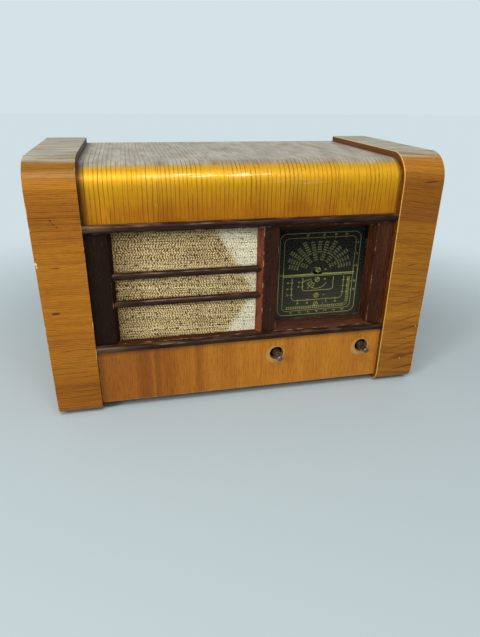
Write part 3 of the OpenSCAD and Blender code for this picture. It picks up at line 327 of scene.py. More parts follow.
class Finish(Nodes):
    """A procedural material."""

    def __init__(self, name):
        self.material = bpy.data.materials.new(name)
        super().__init__(self.material)
        self.where = self.node("TexCoord")
        self.place = self.split("Object")

    def split(self, output):
        """The x, y and z of a texture coordinate."""
        parts = self.node("SeparateXYZ", inputs={0: self.out(self.where, output)})
        return [self.out(parts, key) for key in "XYZ"]

    def facing(self):
        return self.split("Normal")

    def clouds(self, size, detail):
        """Noise with patches of one size, in metres, in every direction."""
        x, y, z = self.place
        return noise(x / size, y / size, z / size, detail)

    def worn(self):
        return self.out(self.node("Attribute", {"attribute_name": "worn"}), "Fac")

    def done(self, colour, rough, bump=None, depth=0.1, shine=0.5, **inputs):
        """Closes the material with a Principled surface whose bumps are depth millimetres high."""
        inputs = {key.replace("_", " "): value for key, value in inputs.items()}
        inputs |= {"Base Color": colour, "Roughness": rough, "Specular IOR Level": shine}
        if bump is not None:
            inputs["Normal"] = self.level("Bump", inputs={"Height": bump, "Distance": depth * MM,
                                                          "Strength": 1.0})
        surface = self.level("BsdfPrincipled", inputs=inputs)
        self.node("OutputMaterial", inputs={"Surface": surface})
        return self.material


def begin(name):
    """A new material, and the x, y and z of its object."""
    finish = Finish(name)
    return (finish, *finish.place)


def noise(x, y, z=0.0, detail=2.0, rough=0.5):
    """Noise of about one unit's size, from 0 to 1."""
    place = x.nodes.level("CombineXYZ", inputs={0: x, 1: y, 2: z})
    return x.nodes.level("TexNoise", inputs={"Vector": place, "Scale": 1.0, "Detail": detail,
                                             "Roughness": rough})


def chance(value):
    """A random value from 0 to 1 for each whole number."""
    return value.nodes.level("TexWhiteNoise", {"noise_dimensions": "1D"}, {"W": maths("FLOOR", value)})


def step(value, low, high):
    """Rises smoothly from 0 at low to 1 at high."""
    return value.nodes.level("MapRange", {"interpolation_type": "SMOOTHSTEP"},
                             {"Value": value, "From Min": low, "From Max": high})


def ramp(value, *stops):
    return value.nodes.level("ValToRGB", {"stops": stops}, {0: value})


def mix(factor, low, high):
    return factor.nodes.level("Mix", inputs={"Factor": factor, "A": low, "B": high})


def blend(factor, base, colour, mode="MIX"):
    """Lays a colour over another."""
    return factor.nodes.level("Mix", {"data_type": "RGBA", "blend_type": mode, "clamp_result": True},
                              {"Factor": factor, "A": base, "B": colour})


def stain(factor, base, colour):
    """Darkens a colour by multiplying it with another."""
    return blend(factor, base, colour, "MULTIPLY")


def spot(u, v, centre, size, turn=0.0, soft=0.5):
    """1 inside an ellipse, fading to 0 at its edge. Its centre and half sizes are in millimetres."""
    cos, sin = math.cos(math.radians(turn)), math.sin(math.radians(turn))
    du, dv = u - centre[0] * MM, v - centre[1] * MM
    along = (du * cos + dv * sin) / (size[0] * MM)
    across = (dv * cos - du * sin) / (size[1] * MM)
    return 1 - step(along * along + across * across, 1 - soft, 1)


class Veneer:
    """Wood figure from distances along and across the grain: tone, fibres, pores and two sets of dark lines.

    shades holds the dark, middle and light wood. bold and fine hold the pitch of the dark lines in
    millimetres, how far they wander, in pitches, how thin they are and how much of them shows."""

    def __init__(self, along, across, shades, bold, fine, seed, spread=(0.36, 0.5, 0.64), dashes=0.34):
        self.along = along
        self.across = across
        self.seed = seed
        self.bold = self.lines(bold, 0.0)
        self.fine = self.lines(fine, 40.0)
        self.fibre = noise(along / 0.018, across / 0.0007, seed + 17, detail=4, rough=0.65)
        pores = noise(along / 0.005, across / 0.0005, seed + 23, detail=1)
        self.pores = step(pores, 0.58, 0.72)
        short = noise(along / 0.011, across / 0.0013, seed + 29, detail=3)
        self.dashes = step(short, 0.54, 0.66) * dashes
        bands = noise(along / 0.3, across / 0.025, seed + 11, detail=3)
        tone = bands * 0.5 + self.fibre * 0.5
        self.wood = ramp(tone, *zip(spread, shades))

    def lines(self, plan, shift):
        pitch, wander, thin, cover = plan
        pitch *= MM
        along, across, seed = self.along, self.across, self.seed + shift
        drift = noise(along / 0.16, across / (pitch * 8), seed, detail=3)
        ripple = noise(along / 0.02, across / (pitch * 2), seed + 3)
        place = across / pitch + drift * wander + ripple * 0.3
        saw = abs(maths("FRACT", place) * 2 - 1)
        strength = chance(place + seed)
        breaks = noise(along / 0.03, place * 1.7, seed + 7, detail=3)
        line = step(saw, thin, 0.98) * (0.4 + 0.6 * strength)
        return line * step(breaks, 0.34, 0.5) * cover

    def inked(self, wood, ink):
        """Draws the dark lines and pores over a wood colour."""
        wood = blend(self.pores * 0.3, wood, ink)
        wood = blend(self.dashes, wood, ink)
        wood = blend(self.fine, wood, ink)
        return blend(self.bold, wood, ink)

    def relief(self):
        return 0.6 - self.bold * 0.35 - self.fine * 0.15 - self.pores * 0.2 + self.fibre * 0.12


def dusty(finish, wood, colour, most=0.85):
    """Pale, blotchy dusting on what faces up, partly a painted sheen: the pale reflection that the tops show.
    """
    up = finish.facing()[2]
    x, y, z = finish.place
    clouds = noise(x / 0.06, y / 0.03, z / 0.05, detail=5, rough=0.6)
    cover = step(up + clouds * 0.06, 0.8, 0.98) * (most - 0.45 + clouds * 0.9)
    return blend(cover, wood, colour)


def rubbed(finish, wood, colour, size, least, most):
    """Shows pale wood where the arrises are worn, in patches of about the given size."""
    x, y, z = finish.place
    patches = noise(x / size, y / size, z / (size * 1.5), detail=4)
    arris = finish.worn() * step(patches, least, least + 0.14)
    return blend(arris * most, wood, colour)


# Scratches, a knot and chips on the cheeks' fronts, in millimetres: x, z, size and, where needed, a turn
CHEEK_MARKS = {-1: ((-181.5, 208, (1.5, 0.7), -62), (-179.4, 204.6, (1.6, 0.7), -48),
                    (-176.5, 202, (1, 0.8), 0), (-188, 119, (4.5, 1.6), 4),
                    (-183, 164, (5, 0.5), 0)),
               1: ((186, 233, (9, 0.8), 2), (178, 146, (6, 0.6), 3))}
CHEEK_CHIPS = {-1: ((-199, 169, 1.3), (-198.6, 166, 0.9)), 1: ((182.5, 32, 0.8), (196, 72.5, 0.7))}


def cheek_wood(side):
    """Honey-brown veneer: the grain runs across the band and wraps over its rounded corners."""
    finish, x, y, z = begin("left_cheek_veneer" if side < 0 else "right_cheek_veneer")
    outer = step(abs(finish.facing()[0]), 0.7, 0.9)
    over = y + z - cheek_low.y
    along = mix(outer, x, y)
    middle = side * (cheek_low.x + cheek_high.x) / 2 / MM
    if side < 0:
        shades = (156, 92, 12), (178, 110, 16), (194, 126, 22)
        ink, bold, fine = (58, 28, 4), (6, 1.8, 0.86, 0.9), (1.9, 2.6, 0.62, 0.75)
        across = mix(outer, over, z)
        bands = ((214, 22, 0.3), (150, 20, 0.16), (40, 36, 0.34))
    else:
        shades = (152, 92, 12), (176, 112, 18), (194, 130, 26)
        ink, bold, fine = (62, 32, 4), (6, 1.8, 0.86, 0.8), (1.9, 2.6, 0.62, 0.65)
        across = mix(outer, over + x * 0.12, z)
        bands = ((236, 36, 0.5), (150, 20, 0.16), (46, 36, 0.3))
    veneer = Veneer(along, across, shades, bold, fine, seed=2.0 + side, dashes=0.18)
    streaks = noise(along / 0.12, across / 0.005, 31 + side, detail=5)
    shade = step(streaks, 0.46, 0.7) * 0.22
    for place, reach, depth in bands:
        shade = shade + spot(across, along, (place, middle), (reach, 300), soft=0.95) * depth
    if side > 0:
        outside = step(x, (middle - 24) * MM, (middle + 8) * MM)
        slant = noise((x + z * 0.2) / 0.07, (z - x * 0.2) / 0.004, 71, detail=3)
        low_part = 1 - step(z, 0.10, 0.16)
        shade = shade + step(slant, 0.52, 0.62) * outside * low_part * 0.55
    wood = stain(shade, veneer.wood, (164, 122, 92))
    if side < 0:
        crown = spot(across, along, (262, middle), (26, 300), soft=0.95)
        wood = stain(crown, wood, (214, 226, 172))
        calm = spot(across, along, (135, middle), (62, 300), soft=0.7)
        veneer.bold = veneer.bold * (1 - calm * 0.5)
        veneer.fine = veneer.fine * (1 - calm * 0.45)
    inside = step(finish.facing()[0] * -side, 0.7, 0.9)
    shadowed = (96, 66, 44) if side < 0 else (170, 130, 98)
    wood = stain(inside * 0.85, wood, shadowed)
    # The top of the band: pale dusting, and a painted sheen where it faces up.
    swept = step(noise(along / 0.06, across / 0.006, 81, detail=4), 0.36, 0.62)
    wood = dusty(finish, wood, blend(swept, (138, 120, 90), (196, 188, 162)))
    wood = veneer.inked(wood, ink)
    wood = rubbed(finish, wood, (226, 184, 96), 0.008, 0.56 if side < 0 else 0.12, 0.85)
    front = 1 - step(y, cheek_low.y + 2 * MM, cheek_low.y + 4 * MM)
    for u, v, size, turn in CHEEK_MARKS[side]:
        mark = front * spot(x, z, (u, v), size, turn)
        wood = blend(mark * 0.8, wood, (64, 26, 8))
    for u, v, size in CHEEK_CHIPS[side]:
        chip = front * spot(x, z, (u, v), (size, size * 1.4), 20)
        wood = blend(chip * (0.9 if side < 0 else 0.6), wood, (232, 200, 138))
    return finish.done(wood, 0.40 + veneer.fibre * 0.12, veneer.relief(), 0.12, shine=0.2,
                       Coat_Weight=0.12, Coat_Roughness=0.22, Metallic=0.2 - veneer.bold * 0.2)


# Where the top's veneer leaves meet
LEAF_JOINTS = (-85 * MM, 88 * MM)


def shell_wood():
    """Golden veneer in three leaves, with thin dark lines that run up the front and back over the top."""
    finish, x, y, z = begin("golden_shell_veneer")
    shades = (176, 106, 6), (194, 124, 10), (210, 144, 18)
    veneer = Veneer(y + z, x, shades, (4.2, 1.3, 0.7, 1.0), (2.1, 1.6, 0.7, 0.28), seed=5.0,
                    spread=(0.3, 0.5, 0.7), dashes=0.08)
    left_leaf = 1 - step(x, LEAF_JOINTS[0] - 0.2 * MM, LEAF_JOINTS[0] + 0.2 * MM)
    right_leaf = step(x, LEAF_JOINTS[1] - 0.2 * MM, LEAF_JOINTS[1] + 0.2 * MM)
    middle_leaf = 1 - left_leaf - right_leaf
    wood = stain(middle_leaf * 0.35, veneer.wood, (226, 200, 190))
    smudge = noise(x / 0.03, (y + z) / 0.05, 51, detail=4)
    wood = stain(step(smudge, 0.5, 0.7) * 0.4, wood, (190, 150, 120))
    # The top's pale cover is dusting together with a painted sheen, standing in for the pale room that the
    # top reflects.
    haze = step(noise(x / 0.014, y / 0.05, 61, detail=5, rough=0.7), 0.2, 0.75)
    pale_cover = blend(haze, (134, 116, 88), (206, 197, 174))
    up = finish.facing()[2]
    # Painted highlight: a golden band on the front rounding, below the top.
    painted_highlight = step(z, 0.205, 0.244) * (1 - step(up, 0.8, 0.95))
    wood = blend(painted_highlight * 0.75, wood, (222, 168, 20))
    wood = dusty(finish, wood, pale_cover, most=0.9)
    low_part = 1 - step(z, 0.19, 0.225)
    veneer.bold = veneer.bold * (1 - low_part * step(x, LEAF_JOINTS[0], LEAF_JOINTS[0] + 10 * MM) * 0.6)
    wood = veneer.inked(wood, blend(step(up, 0.8, 0.95), (84, 42, 2), (56, 34, 12)))
    low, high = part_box("top_shell")
    # Darker at both ends, beside the cheeks: a painted shadow of the cheeks, with some grime.
    cheek_shadow_and_grime = 1 - step(x, low.x + 1 * MM, low.x + 9 * MM) * (1 - step(x, high.x - 5 * MM, high.x))
    wood = stain(cheek_shadow_and_grime * 0.85, wood, (96, 62, 40))
    for joint in LEAF_JOINTS:
        seam = spot(x, y * 0, (joint / MM, 0), (0.35, 1000))
        wood = blend(seam * 0.5, wood, (90, 54, 12))
    scratch = spot(x, y, (-59.6, 34.5), (18, 0.7), 28)
    wood = blend(scratch * 0.8, wood, (70, 46, 20))
    wood = rubbed(finish, wood, (214, 172, 96), 0.01, 0.42, 0.7)
    polish = spot(x, z, (-84, 240), (26, 12), 0, 0.8) * 0.3
    for u, v, reach in ((-8, 244, 70), (48, 236, 34), (62, 231, 26)):
        flow = noise(x / 0.02, z / 0.0016, u, detail=2)
        polish = polish + spot(x, z, (u, v), (reach, 4)) * step(flow, 0.5, 0.56) * 1.2
    return finish.done(wood, 0.4 + veneer.fibre * 0.1, veneer.relief(), shine=0.2,
                       Coat_Weight=0.06 + polish * 0.8, Coat_Roughness=0.07,
                       Metallic=0.45 - veneer.bold * 0.2)


def fascia_wood():
    """Orange-brown veneer with upright grain, rubbed pale round the two spindle holes."""
    finish, x, _, z = begin("fascia_veneer")
    shades = (164, 98, 22), (192, 120, 28), (210, 140, 38)
    veneer = Veneer(z, x, shades, (5, 0.8, 0.8, 0.3), (1.9, 1.4, 0.5, 0.36), seed=9.0)
    wood = veneer.inked(veneer.wood, (112, 56, 12))
    left = 1 - step(x, -0.14, 0.03)
    wood = stain(left * 0.8, wood, (196, 176, 170))
    for streak, width in ((-110, 10), (-52, 6), (-96, 4)):
        mark = spot(x, z, (streak, 40), (width, 300), soft=0.95)
        wood = stain(mark * 0.4, wood, (176, 128, 110))
    for axis in (volume_axis, wave_axis):
        edge = noise(x / 0.004, z / 0.004, 2, detail=3)
        rub = spot(x + edge * 0.002, z + edge * 0.002, (axis.x / MM - 0.6, axis.z / MM - 0.2),
                   (11.6, 11.2), soft=0.25)
        wood = blend(rub * 0.75, wood, (190, 148, 84))
    wood = rubbed(finish, wood, (208, 176, 120), 0.006, 0.36, 0.8)
    return finish.done(wood, 0.45 + veneer.fibre * 0.1, veneer.relief(), shine=0.2, Coat_Weight=0.15,
                       Coat_Roughness=0.3, Metallic=0.15)


def dark_wood(name, grain, light=1.0, polish=0.1, rub=0.5, reddish=False):
    """Polished maroon-brown hardwood, with fine grain along x or z and rubbed pale edges. light scales its
    shades, which paints light and shade into copies of one wood.
    """
    finish, x, y, z = begin(name)
    along, across = (x, z) if grain == "x" else (z, x)
    shades = [tuple(value * light for value in shade) for shade in
              ((26, 12, 6), (50, 25, 13), (78, 43, 26))]
    veneer = Veneer(along, across + y, shades, (4, 1.0, 0.7, 0.6), (1.8, 1.4, 0.5, 0.5), seed=13.0)
    wood = veneer.wood
    if reddish:
        splay = step(finish.facing()[0] * -1, 0.2, 0.6)
        wood = blend(splay * 0.8, wood, (128, 66, 42))
    wood = veneer.inked(wood, (14, 6, 3))
    specks = finish.clouds(0.0016, 1)
    wood = blend(step(specks, 0.7, 0.76) * 0.4 * min(light, 1) ** 2, wood, (140, 98, 72))
    wood = rubbed(finish, wood, (176, 138, 102), 0.006, rub, 0.8)
    shine = noise(x / 0.03, y / 0.004, z / 0.004, detail=4)
    glints = step(noise(x / 0.012, y / 0.0013, z / 0.0013, detail=2), 0.46, 0.58)
    if polish > 0.2:
        left_end = 1 - step(x, -0.15, -0.11)
        wood = blend(left_end * step(shine, 0.3, 0.5) * 0.38, wood, (132, 100, 66))
        # Pale on upward faces in the patches where the coat shines: dusting, with a painted highlight.
        pale_cover = step(finish.facing()[2], 0.2, 0.9) * step(shine, 0.5, 0.62)
        wood = blend(pale_cover * 0.3, wood, (140, 104, 68))
    coat = step(shine, 0.4, 0.6) * (0.3 + glints * 0.8) * polish
    return finish.done(wood, 0.36 + veneer.fibre * 0.12, veneer.relief(), 0.08, shine=0.1,
                       Coat_Weight=coat, Coat_Roughness=0.16)


def plain_wood(name, base, line):
    finish, x, y, z = begin(name)
    fibre = noise(x / 0.02, (y + z) / 0.0012, 4, detail=4)
    bands = noise(x / 0.2, (y + z) / 0.012, 8, detail=2)
    wood = ramp(fibre * 0.5 + bands * 0.5, (0.35, line), (0.62, base))
    return finish.done(wood, 0.7, fibre, 0.15)


def metal(name, colour, dark, rough=0.35, metallic=1.0):
    """Metal or painted metal with dull patches and fine scratches."""
    finish, x, y, z = begin(name)
    patches = finish.clouds(0.012, 4)
    scratch = noise(x / 0.004, (y + z) / 0.0004, 5, detail=2)
    shade = ramp(patches * 0.7 + scratch * 0.3, (0.35, dark), (0.62, colour))
    return finish.done(shade, rough + patches * 0.25, scratch, 0.02, Metallic=metallic)


def striped(name, colour, line, pitch, axis, metallic=0.0):
    """Layers or turns seen edge on: thin dark lines across one axis."""
    finish = Finish(name)
    drift = finish.clouds(0.02, 3)
    layer = finish.place[axis] / pitch + drift * 0.3
    saw = abs(maths("FRACT", layer) * 2 - 1)
    groove = step(saw, 0.62, 0.95)
    shade = blend(chance(layer) * 0.3 + drift * 0.3, colour, line)
    shade = blend(groove * 0.75, shade, line)
    return finish.done(shade, 0.5 + drift * 0.2, 1 - groove, 0.12, Metallic=metallic)


def board(name, colour, dark, pale):
    """Pressed fibre board: mottled, dustier towards the foot and pale where its edges are cut."""
    finish, x, y, z = begin(name)
    grain = finish.clouds(0.0015, 3)
    clouds = noise(x / 0.04, y / 0.04, z / 0.03, detail=4)
    shade = blend(step(clouds * 0.6 + grain * 0.4, 0.36, 0.64), dark, colour)
    shade = blend(finish.worn() * grain, shade, pale)
    pale_cover = (1 - step(z, 0.02, 0.12)) * clouds
    shade = blend(pale_cover * 0.4, shade, (150, 138, 118))
    return finish.done(shade, 0.62 + clouds * 0.2, grain)


def coned_paper():
    """Felted paper with rings pressed round the loudspeaker's axis."""
    finish, x, _, z = begin("cone_paper")
    middle = middle_of("speaker_cone")
    du, dv = x - middle.x, z - middle.z
    reach = maths("SQRT", du * du + dv * dv)
    rings = maths("SINE", reach * (math.tau / (3.4 * MM))) * 0.5 + 0.5
    fibre = finish.clouds(0.0012, 4)
    shade = blend(step(fibre, 0.36, 0.64), (46, 41, 35), (78, 70, 60))
    return finish.done(shade, 0.8 + fibre * 0.15, rings * 0.6 + fibre * 0.4, 0.3)


def plastic(name, colour, rough):
    finish = Finish(name)
    clouds = finish.clouds(0.01, 4)
    shade = blend(clouds * 0.12, colour, (90, 80, 70))
    return finish.done(shade, rough + clouds * 0.2, clouds, 0.03)


TWEED_PITCH = 2.6 * MM


def tweed():
    """Cream tweed: rows of small V stitches with dark flecks."""
    finish, x, _, z = begin("speaker_tweed")
    loose = noise(x / 0.014, z / 0.014, 1, detail=2)
    rows = z / TWEED_PITCH + loose * 0.5
    lean = maths("PINGPONG", maths("FLOOR", rows), 1.0) * 2 - 1
    inside = maths("FRACT", rows) - 0.5
    stitch = x / TWEED_PITCH + inside * lean * 0.5 + chance(rows) + loose * 2
    wave = maths("COSINE", stitch * math.tau) * 0.5 + 0.5
    gap = step(abs(inside), 0.22, 0.5)
    fuzz = noise(x / 0.0016, z / 0.0014, 3, detail=3)
    fold = abs(z - 0.125)
    right_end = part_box("upper_grille_bar")[1].x
    bright = step(x + fold * 0.58 + loose * 0.008, right_end - 9 * MM, right_end + 1 * MM)
    single = chance(stitch + rows * 17) - 0.5
    yarn = wave * (0.85 - gap * 0.6) + (fuzz - 0.5) * 1.6 + single * 0.7 + bright * 0.38
    cloth = ramp(yarn, (0.0, (96, 68, 32)), (0.26, (214, 184, 124)), (0.5, (255, 248, 216)))
    flecks = step(noise(x / 0.0034, z / 0.0028, 9, detail=1), 0.6, 0.67)
    cloth = blend(flecks * (0.85 - bright * 0.3), cloth, (52, 32, 14))
    patch = noise(x / 0.03, z / 0.03, 21, detail=3)
    cloth = stain(step(patch, 0.5, 0.7) * 0.4, cloth, (170, 150, 120))
    cloth = stain((1 - bright) * 0.85, cloth, (242, 226, 192))
    low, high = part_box("speaker_cloth")
    # Darker along the left and top edges: painted shade in the frame's recess.
    edge = 1 - step(x, low.x + 20 * MM, low.x + 60 * MM) * (1 - step(z, high.z - 18 * MM, high.z - 8 * MM))
    cloth = stain(edge * 0.72, cloth, (142, 122, 94))
    return finish.done(cloth, 0.9, yarn - flecks * 0.3, 0.5, shine=0.1)


def dial_glass_finish():
    """Clear, slightly smoky glass; what shows is the black tray behind it and the print on its back."""
    finish, x, _, z = begin("dial_glass")
    film = noise(x / 0.03, z / 0.02, 2, detail=4)
    # Lighter and less clear towards the foot: painted shade over the upper part, under the frame.
    low = 1 - step(z, dial_foot, dial_foot + 70 * MM)
    return finish.done(blend(low, (3, 3, 2), (8, 8, 6)), 0.06 + film * 0.04,
                       Alpha=0.05 + low * 0.03 + film * 0.04)


def tray_enamel():
    """Dark grey enamel behind the glass, lighter towards the foot: painted shade darkens its upper part under
    the frame.
    """
    finish, _, _, z = begin("tray_enamel")
    tone_change = 1 - step(z, dial_foot, dial_foot + 90 * MM)
    clouds = finish.clouds(0.02, 3)
    # Painted shade: darker above, lighter towards the foot.
    grey = blend(tone_change, (28, 28, 22), (82, 80, 64))
    grey = blend(clouds * 0.3, grey, (30, 29, 23))
    return finish.done(grey, 0.7 + clouds * 0.1, shine=0.1)


def print_finish(name, colour, dark_hub=0.0):
    finish, x, _, z = begin(name)
    tone_change = noise(x / 0.012, z / 0.012, 6, detail=3)
    shade = blend(tone_change * 0.5, colour, (140, 144, 76))
    # Darker over the upper part of the dial: painted shade under the frame.
    upper = step(z, dial_centre.z + 2 * MM, dial_centre.z + 12 * MM)
    shade = blend(upper * 0.7, shade, (88, 88, 56))
    hub = spot(x, z, (dial_centre.x / MM, dial_centre.z / MM), (5, 5), soft=0.1)
    shade = blend(hub * dark_hub, shade, (15, 14, 10))
    return finish.done(shade, 0.7, shine=0.03)


def rotor_metal():
    """Bare aluminium, dark and not metallic on the shaft's end in front of the tray."""
    finish, _, y, _ = begin("rotor_aluminium")
    patches = finish.clouds(0.012, 4)
    shade = blend(step(patches, 0.35, 0.62), (160, 158, 152), (206, 206, 202))
    tray_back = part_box("dial_tray")[1].y
    behind = step(y, tray_back - 1 * MM, tray_back)
    shade = blend(behind, (16, 15, 11), shade)
    return finish.done(shade, 0.4 + patches * 0.25, Metallic=behind)


def clear_glass():
    finish, x, y, z = begin("clear_glass")
    film = noise(x / 0.01, y / 0.01, z / 0.02, detail=3)
    silver = step(z, 0.135, 0.16)
    shade = blend(silver * 0.8, (170, 178, 178), (150, 150, 146))
    return finish.done(shade, 0.05 + film * 0.1, Alpha=0.3 + silver * 0.5, Metallic=silver * 0.6)


# Copies of one mahogany with painted light and shade: the light number makes parts brighter where the light
# falls on them and the left post darker in the left cheek's shadow.
mahogany_x = dark_wood("mahogany_along", "x", 1.25)
mahogany_moulding = dark_wood("mahogany_moulding", "x", 0.85, 0.5)
mahogany_z = dark_wood("mahogany_upright", "z", 1.35)
mahogany_left = dark_wood("mahogany_left_post_shaded", "z", 0.7, 0.0, 0.66)
mahogany_divider = dark_wood("mahogany_divider", "z", 1.2, reddish=True)
plywood = plain_wood("plywood", (196, 164, 118), (150, 112, 70))
felt = plastic("felt", (58, 54, 50), 0.9)
steel = metal("plated_steel", (176, 174, 168), (120, 116, 108))
chassis_steel = metal("chassis_steel", (162, 164, 164), (122, 120, 114), 0.4)
aluminium = metal("aluminium", (206, 206, 202), (160, 158, 152), 0.3)
dull_steel = metal("spindle_steel", (132, 122, 112), (88, 76, 64), 0.35)
brass = metal("brass", (192, 160, 92), (134, 104, 54))
basket_paint = metal("basket_paint", (76, 82, 84), (46, 50, 52), 0.45, 0.2)
core_iron = metal("core_iron", (88, 84, 80), (56, 50, 46), 0.5, 0.6)
cone_paper = coned_paper()
laminated = striped("laminated_iron", (92, 86, 80), (44, 38, 34), 0.9 * MM, 1, 0.5)
waxed_paper = striped("waxed_paper", (158, 118, 70), (104, 70, 36), 5.5 * MM, 2)
electrode = metal("electrode_grey", (96, 96, 96), (58, 58, 60), 0.45, 0.7)
mica = plastic("mica", (196, 186, 160), 0.3)
paxolin = plastic("brown_board", (120, 74, 40), 0.4)
brown_moulding = plastic("brown_moulding", (62, 34, 22), 0.25)
black_moulding = plastic("black_moulding", (26, 25, 24), 0.3)
rubber = plastic("rubber", (38, 36, 34), 0.7)
cord_fibre = plain_wood("drive_cord", (198, 182, 146), (150, 132, 96))
hardboard = board("hardboard", (104, 70, 46), (72, 46, 30), (150, 112, 78))


# Cabinet


def cheek(name, side):
    """Band bent round the top, front and foot of the side, closed by a thinner side panel."""
    low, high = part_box(name)
    inner, outer = (low.x, high.x) if side > 0 else (high.x, low.x)
    wall = outer - side * CHEEK_SIDE
    front, back, foot, top = low.y, high.y, low.z, high.z
    floor, roof, face = foot + BASE_TOP, top - CHEEK_BAND, front + CHEEK_BAND
    outline = [(back, foot), (front, foot), (front, top), (back, top),
               (back, roof), (face, roof), (face, floor), (back, floor)]
    bm = bmesh.new()
    verts = [bm.verts.new((wall, y, z)) for y, z in outline]
    bm.faces.new(verts)
    bm.faces.new(verts[:3:-1])
    round_corners(bm, verts, ((1, CHEEK_TOE_ROUND), (2, CHEEK_TOP_ROUND), (5, CHEEK_TOP_ROUND - CHEEK_BAND)))
    band = max(bm.faces, key=lambda face: len(face.verts))
    band_centre = band.calc_center_median()
    push(bm, bm.faces[:], (outer - wall, 0, 0))
    bm.faces.ensure_lookup_table()
    band = min(bm.faces, key=lambda face: (face.calc_center_median() - band_centre).length)
    push(bm, [band], (inner - wall, 0, 0), moved=True)
    piece(name + "_veneered", bm, cheek_wood(side), name, eased=0.7)


cheek("left_cheek", -1)
cheek("right_cheek", 1)


def bent_top():
    low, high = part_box("top_shell")
    outline = [(low.y, low.z), (low.y, high.z), (high.y, high.z), (high.y, high.z - SHELL_THICK),
               (low.y + SHELL_THICK, high.z - SHELL_THICK), (low.y + SHELL_THICK, low.z)]
    bm = bmesh.new()
    moulding(bm, outline, low.x, high.x, ((1, SHELL_ROUND), (4, SHELL_ROUND - SHELL_THICK)), 24)
    piece("bent_top", bm, shell_wood(), "top_shell", eased=0.4)


bent_top()


def fascia():
    low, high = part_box("lower_fascia")
    bm = bmesh.new()
    rim = [bm.verts.new((x, low.y, z)) for x, z in
           ((low.x, low.z), (high.x, low.z), (high.x, high.z), (low.x, high.z))]
    for start, end in zip(rim, rim[1:] + rim[:1]):
        bm.edges.new((start, end))
    for axis in (volume_axis, wave_axis):
        bmesh.ops.create_circle(bm, cap_ends=False, radius=HOLE_RADIUS, segments=48,
                                matrix=Matrix.Translation((axis.x, low.y, axis.z)) @ UPRIGHT)
    bmesh.ops.triangle_fill(bm, use_beauty=True, edges=bm.edges[:], normal=(0, -1, 0))
    push(bm, bm.faces[:], (0, high.y - low.y, 0))
    piece("fascia_board", bm, fascia_wood(), "lower_fascia", eased=0.5)


fascia()


def half_round(node, reach=0.0):
    """A half-round bar along a node's box, longer by reach at both ends."""
    low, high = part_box(node)
    radius = (high.z - low.z) / 2 * 0.995
    outline = [(low.y, low.z), (high.y, low.z), (high.y, high.z), (low.y, high.z)]
    bm = bmesh.new()
    moulding(bm, outline, low.x - reach, high.x + reach, ((0, radius), (3, radius)), 8)
    return bm


for nosing in ("upper_nosing", "lower_nosing"):
    piece(nosing + "_polished", half_round(nosing), mahogany_moulding, nosing, eased=0.3)


def grille_bar(node):
    """Half-round bar whose ends are cut to the splay of the opening."""
    low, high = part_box(node)
    bm = half_round(node, 1 * MM)
    left, right, depth = GRILLE_SPLAY
    for place, normal in ((Vector((low.x, low.y, 0)), Vector((-depth, left, 0))),
                          (Vector((high.x, low.y, 0)), Vector((depth, right, 0)))):
        cut(bm, place, normal, away=True)
        bmesh.ops.holes_fill(bm, edges=[edge for edge in bm.edges if edge.is_boundary])
    piece(node + "_polished", bm, mahogany_moulding, node)


grille_bar("upper_grille_bar")
grille_bar("lower_grille_bar")

for member, member_finish in (("left_post", mahogany_left), ("centre_divider", mahogany_divider),
                              ("right_post", mahogany_z), ("top_rail", mahogany_x),
                              ("bottom_rail", mahogany_x)):
    eased_copy(member, "_polished", member_finish, 0.4, above=15)


def cloth_sheet():
    """Tweed stretched behind the frame, with a slight slack between its edges."""
    low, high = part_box("speaker_cloth")
    thick = high.y - low.y
    middle = (low + high) / 2
    size = high - low
    bm = bmesh.new()
    standing = Matrix.Translation((middle.x, low.y + thick * 0.35, middle.z)) @ UPRIGHT
    bmesh.ops.create_grid(bm, x_segments=90, y_segments=66, size=0.5,
                          matrix=standing @ Matrix.Diagonal((size.x, size.z, 1, 1)))
    for vert in bm.verts:
        across = (vert.co.x - low.x) / size.x
        up = (vert.co.z - low.z) / size.z
        vert.co.y += 0.12 * MM * math.sin(across * 19 + up * 5) * math.sin(up * math.pi)
    bmesh.ops.solidify(bm, geom=bm.faces[:], thickness=thick * 0.5)
    cloth = piece("tweed_sheet", bm, tweed(), "speaker_cloth", above=60)


cloth_sheet()


# Dial


def plate_glass():
    low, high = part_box("dial_glass")
    bm = bmesh.new()
    block(bm, low, high)
    piece("dial_glass_pane", bm, dial_glass_finish(), "dial_glass", eased=0.3)


plate_glass()
PRINT_THICK = 0.12 * MM
print_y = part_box("dial_glass")[1].y + 0.12 * MM


def stroke(bm, start, end, width):
    """A straight printed line between two points given in millimetres from the dial's middle."""
    start, end = Vector(start) * MM, Vector(end) * MM
    run = end - start
    middle = (start + end) / 2
    place = Matrix.Translation((dial_centre.x + middle.x, print_y, dial_centre.z + middle.y))
    turn = Matrix.Rotation(-math.atan2(run.y, run.x), 4, "Y")
    size = Matrix.Diagonal((run.length, PRINT_THICK, width * MM, 1))
    bmesh.ops.create_cube(bm, size=1, matrix=place @ turn @ size)


def around(centre, reach, angle):
    """The point at a distance and at an angle, in degrees from +x towards up."""
    return (centre[0] + reach * math.cos(math.radians(angle)),
            centre[1] + reach * math.sin(math.radians(angle)))


def bow(bm, centre, radius, first, last, width):
    """A printed arc between two angles."""
    steps = max(3, round(abs(last - first) / 9))
    points = [around(centre, radius, first + (last - first) * k / steps) for k in range(steps + 1)]
    for start, end in zip(points, points[1:]):
        stroke(bm, start, end, width)


